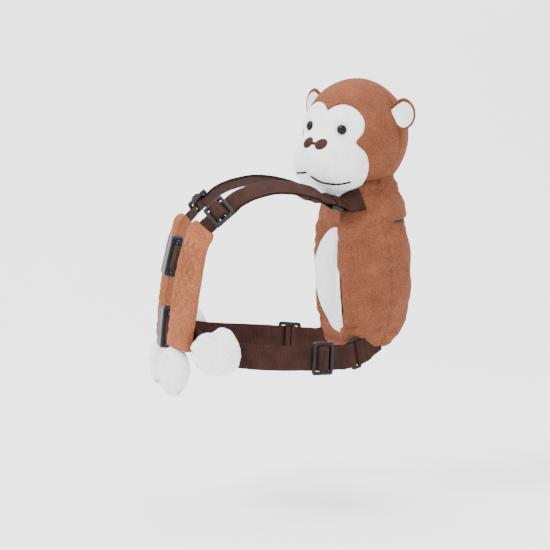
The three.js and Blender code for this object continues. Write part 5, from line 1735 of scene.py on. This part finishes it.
def make_zip():
    """The zip in the slit: a tape that follows the pouch just under its skin, and a row of teeth."""
    y = np.concatenate([np.linspace(99.5, 112, 26), np.linspace(112.6, 160, 60)])
    z = slit_height(y)
    drop = (POUCH_TOP - z) / POUCH_HEIGHT
    fine = closed_curve(pouch_controls(drop), 640)
    side = []
    for row, spot in enumerate(y):
        half = fine[row, :321]
        back = half[np.argmax(half[:, 0]):]
        if spot >= back[-1, 1]:
            break
        side.append((np.interp(spot, back[:, 1], back[:, 0]), spot, z[row]))
    half = np.array(side)
    line = np.concatenate([half, (half * [-1, 1, 1])[::-1]])
    far = travelled(line)
    at = np.arange(0, far[-1], 0.5)
    line = read_off(at, far, line)
    for _ in range(6):
        line[1:-1] = (line[:-2] + 2 * line[1:-1] + line[2:]) / 4
    along = unit(np.gradient(line, axis=0))
    up = np.broadcast_to([0, 0, 1.0], line.shape)
    out = unit(np.cross(up, along))
    if out[len(out) // 2, 1] < 0:
        out = -out
    up = np.cross(out, along)
    y = line[:, 1:2]
    base = line - (4.6 - 2.0 * smooth_step(100, 122, y) - 1.7 * smooth_step(118, 134, y)) * out
    ring = np.array([(-1.7, 0.25), (1.7, 0.25), (1.7, -0.35), (-1.7, -0.35)])
    grid = base[:, None] + ring[None, :, :1] * up[:, None] + ring[None, :, 1:] * out[:, None]
    tape = closed_grid("zip_tape", grid)
    dress(tape, finish("zip_tape", thread_material, colours().zip_tape), "black_plastic", "zipper")
    spots = np.arange(4, len(base) - 4, 3)
    c, a, u, o = base[spots], along[spots], up[spots], out[spots]
    lean = np.where(np.arange(len(spots)) % 2, 0.35, -0.35)[:, None]
    rows = []
    corners = ((-1, -1), (1, -1), (1, 1), (-1, 1))
    for v, half_size in ((-1.0, 0.25), (-0.8, 0.4), (0.8, 0.4), (1.0, 0.25)):
        middle = c + (v + lean) * u + 0.65 * o
        rows.append(np.stack([middle + half_size * (p * a + 1.1 * q * o) for p, q in corners], 1))
    dress(tubes("zip_teeth", np.stack(rows, 1)), black_plastic(), "black_plastic")


# Stage, in metres

CAMERA_PLACE, CAMERA_TARGET, CAMERA_LENS = (2.3438, -0.4436, 0.1505), (0, 0.012, -0.092), 153.8
FLOOR_DROP, FLOOR_END, SWEEP_RADIUS = 0.331, 1.2, 0.9
SWEEP_HALF, SWEEP_HEIGHT = 4.5, 4.5


def aim_at(holder, place, target):
    """Puts a light or camera at a place and turns it towards a target."""
    aim = Vector(target) - Vector(place)
    turn = aim.to_track_quat("-Z", "Y").to_matrix().to_4x4()
    holder.matrix_world = Matrix.Translation(place) @ turn


def make_stage():
    """A seamless paper sweep, that is a floor, a quarter round and a wall, soft lights and the camera."""
    bend = np.linspace(0.1, 1.5, 14)
    back = [[-3, FLOOR_END], FLOOR_END + SWEEP_RADIUS * np.sin(bend), [FLOOR_END + SWEEP_RADIUS + 0.02]]
    rise = [[0, 0], SWEEP_RADIUS * (1 - np.cos(bend)), [SWEEP_HEIGHT]]
    back, rise = np.concatenate(back), np.concatenate(rise) - FLOOR_DROP
    rows = [np.stack([-back, 0 * back + across, rise], -1) for across in (-SWEEP_HALF, SWEEP_HALF)]
    grid = np.stack(rows, 1) / MM
    sweep = build_mesh("paper_sweep", grid, grid_faces(len(back), 2, around=False))
    sweep.data.materials.append(floor_material())
    for name, place, energy, across in (
        ("key_light", (1.2, -2.0, 2.3), 130, 1.0),
        ("fill_light", (1.9, 1.7, 1.1), 27, 1.8),
        ("top_light", (-0.3, 0.2, 2.4), 80, 1.6),
    ):
        light = bpy.data.lights.new(name, "AREA")
        light.energy = energy
        light.size = across
        holder = new_object(name, light)
        aim_at(holder, place, (0, 0.02, -0.09))
    camera = new_object("camera", bpy.data.cameras.new("camera"))
    camera.data.lens = CAMERA_LENS
    camera.data.sensor_width = 36
    camera.data.clip_end = 50
    camera.data.dof.use_dof = False
    aim_at(camera, CAMERA_PLACE, CAMERA_TARGET)
    bpy.context.scene.camera = camera
    world = bpy.data.worlds.get("studio") or bpy.data.worlds.new("studio")
    world.use_nodes = True
    background = world.node_tree.nodes["Background"]
    background.inputs["Color"].default_value = (0.92, 0.93, 0.95, 1)
    background.inputs["Strength"].default_value = 1.42
    bpy.context.scene.world = world


# Operators and panel


class HARNESS_OT_build_head(bpy.types.Operator):
    """Builds the skull and muzzle with their seams"""

    bl_idname = "harness.build_head"
    bl_label = "Build the head"

    def execute(self, context):
        make_head()
        return {"FINISHED"}


class HARNESS_OT_build_face(bpy.types.Operator):
    """Builds the white panel over the front of the head"""

    bl_idname = "harness.build_face"
    bl_label = "Build the face"

    def execute(self, context):
        make_face()
        return {"FINISHED"}


class HARNESS_OT_build_features(bpy.types.Operator):
    """Builds the domed eyes and the embroidered nose and mouth"""

    bl_idname = "harness.build_features"
    bl_label = "Build the eyes, nose and mouth"

    def execute(self, context):
        make_nose_eyes()
        return {"FINISHED"}


class HARNESS_OT_build_ears(bpy.types.Operator):
    """Builds the two cupped ears and their linings"""

    bl_idname = "harness.build_ears"
    bl_label = "Build the ears"

    def execute(self, context):
        make_ears()
        return {"FINISHED"}


class HARNESS_OT_build_body(bpy.types.Operator):
    """Builds the stuffed pouch with its seams, folds and slit"""

    bl_idname = "harness.build_body"
    bl_label = "Build the pouch"

    def execute(self, context):
        make_body()
        return {"FINISHED"}


class HARNESS_OT_build_belly(bpy.types.Operator):
    """Builds the white padded panel on the pouch's front"""

    bl_idname = "harness.build_belly"
    bl_label = "Build the belly panel"

    def execute(self, context):
        make_belly()
        return {"FINISHED"}


class HARNESS_OT_build_zip(bpy.types.Operator):
    """Builds the zip's tape and teeth in the slit"""

    bl_idname = "harness.build_zip"
    bl_label = "Build the zip"

    def execute(self, context):
        make_zip()
        return {"FINISHED"}


class HARNESS_OT_build_arms(bpy.types.Operator):
    """Builds the quilted sleeves and their quilting thread"""

    bl_idname = "harness.build_arms"
    bl_label = "Build the arms"

    def execute(self, context):
        make_arms()
        return {"FINISHED"}


class HARNESS_OT_build_mittens(bpy.types.Operator):
    """Builds the white plush hands and feet"""

    bl_idname = "harness.build_mittens"
    bl_label = "Build the hands and feet"

    def execute(self, context):
        make_mittens()
        return {"FINISHED"}


class HARNESS_OT_build_straps(bpy.types.Operator):
    """Builds every strap and tab of webbing"""

    bl_idname = "harness.build_straps"
    bl_label = "Build the straps"

    def execute(self, context):
        make_straps()
        return {"FINISHED"}


class HARNESS_OT_build_stitches(bpy.types.Operator):
    """Builds the straps' sewing thread"""

    bl_idname = "harness.build_stitches"
    bl_label = "Build the sewing thread"

    def execute(self, context):
        make_stitches()
        return {"FINISHED"}


class HARNESS_OT_build_rings(bpy.types.Operator):
    """Builds the rings and adjusters on the straps"""

    bl_idname = "harness.build_rings"
    bl_label = "Build the rings and adjusters"

    def execute(self, context):
        make_rings()
        return {"FINISHED"}


class HARNESS_OT_build_buckles(bpy.types.Operator):
    """Builds the two side-release buckles"""

    bl_idname = "harness.build_buckles"
    bl_label = "Build the buckles"

    def execute(self, context):
        make_buckles()
        return {"FINISHED"}


class HARNESS_OT_build_stage(bpy.types.Operator):
    """Builds the paper sweep, the lights and the camera"""

    bl_idname = "harness.build_stage"
    bl_label = "Build the stage"

    def execute(self, context):
        make_stage()
        return {"FINISHED"}


OPERATORS = (
    HARNESS_OT_build_head,
    HARNESS_OT_build_face,
    HARNESS_OT_build_features,
    HARNESS_OT_build_ears,
    HARNESS_OT_build_body,
    HARNESS_OT_build_belly,
    HARNESS_OT_build_zip,
    HARNESS_OT_build_arms,
    HARNESS_OT_build_mittens,
    HARNESS_OT_build_straps,
    HARNESS_OT_build_stitches,
    HARNESS_OT_build_rings,
    HARNESS_OT_build_buckles,
    HARNESS_OT_build_stage,
)


class HARNESS_PT_panel(bpy.types.Panel):
    """Sizes, colours and the steps that build the backpack"""

    bl_label = "Harness backpack"
    bl_idname = "HARNESS_PT_panel"
    bl_space_type = "VIEW_3D"
    bl_region_type = "UI"
    bl_category = "Harness backpack"

    def draw(self, context):
        layout = self.layout
        for group in (context.scene.harness_sizes, context.scene.harness_colours):
            box = layout.box()
            for name in group.__annotations__:
                box.prop(group, name)
        for step in OPERATORS:
            layout.operator(step.bl_idname)


CLASSES = (HarnessSizes, HarnessColours, *OPERATORS, HARNESS_PT_panel)


def register():
    for item in CLASSES:
        bpy.utils.register_class(item)
    bpy.types.Scene.harness_sizes = PointerProperty(type=HarnessSizes)
    bpy.types.Scene.harness_colours = PointerProperty(type=HarnessColours)


def unregister():
    del bpy.types.Scene.harness_colours
    del bpy.types.Scene.harness_sizes
    for item in reversed(CLASSES):
        bpy.utils.unregister_class(item)


def main():
    """Builds the pieces in order."""
    register()
    for step in OPERATORS:
        group, name = step.bl_idname.split(".")
        if getattr(getattr(bpy.ops, group), name)() != {"FINISHED"}:
            raise RuntimeError(step.bl_label + " did not finish")


if __name__ == "__main__":
    main()
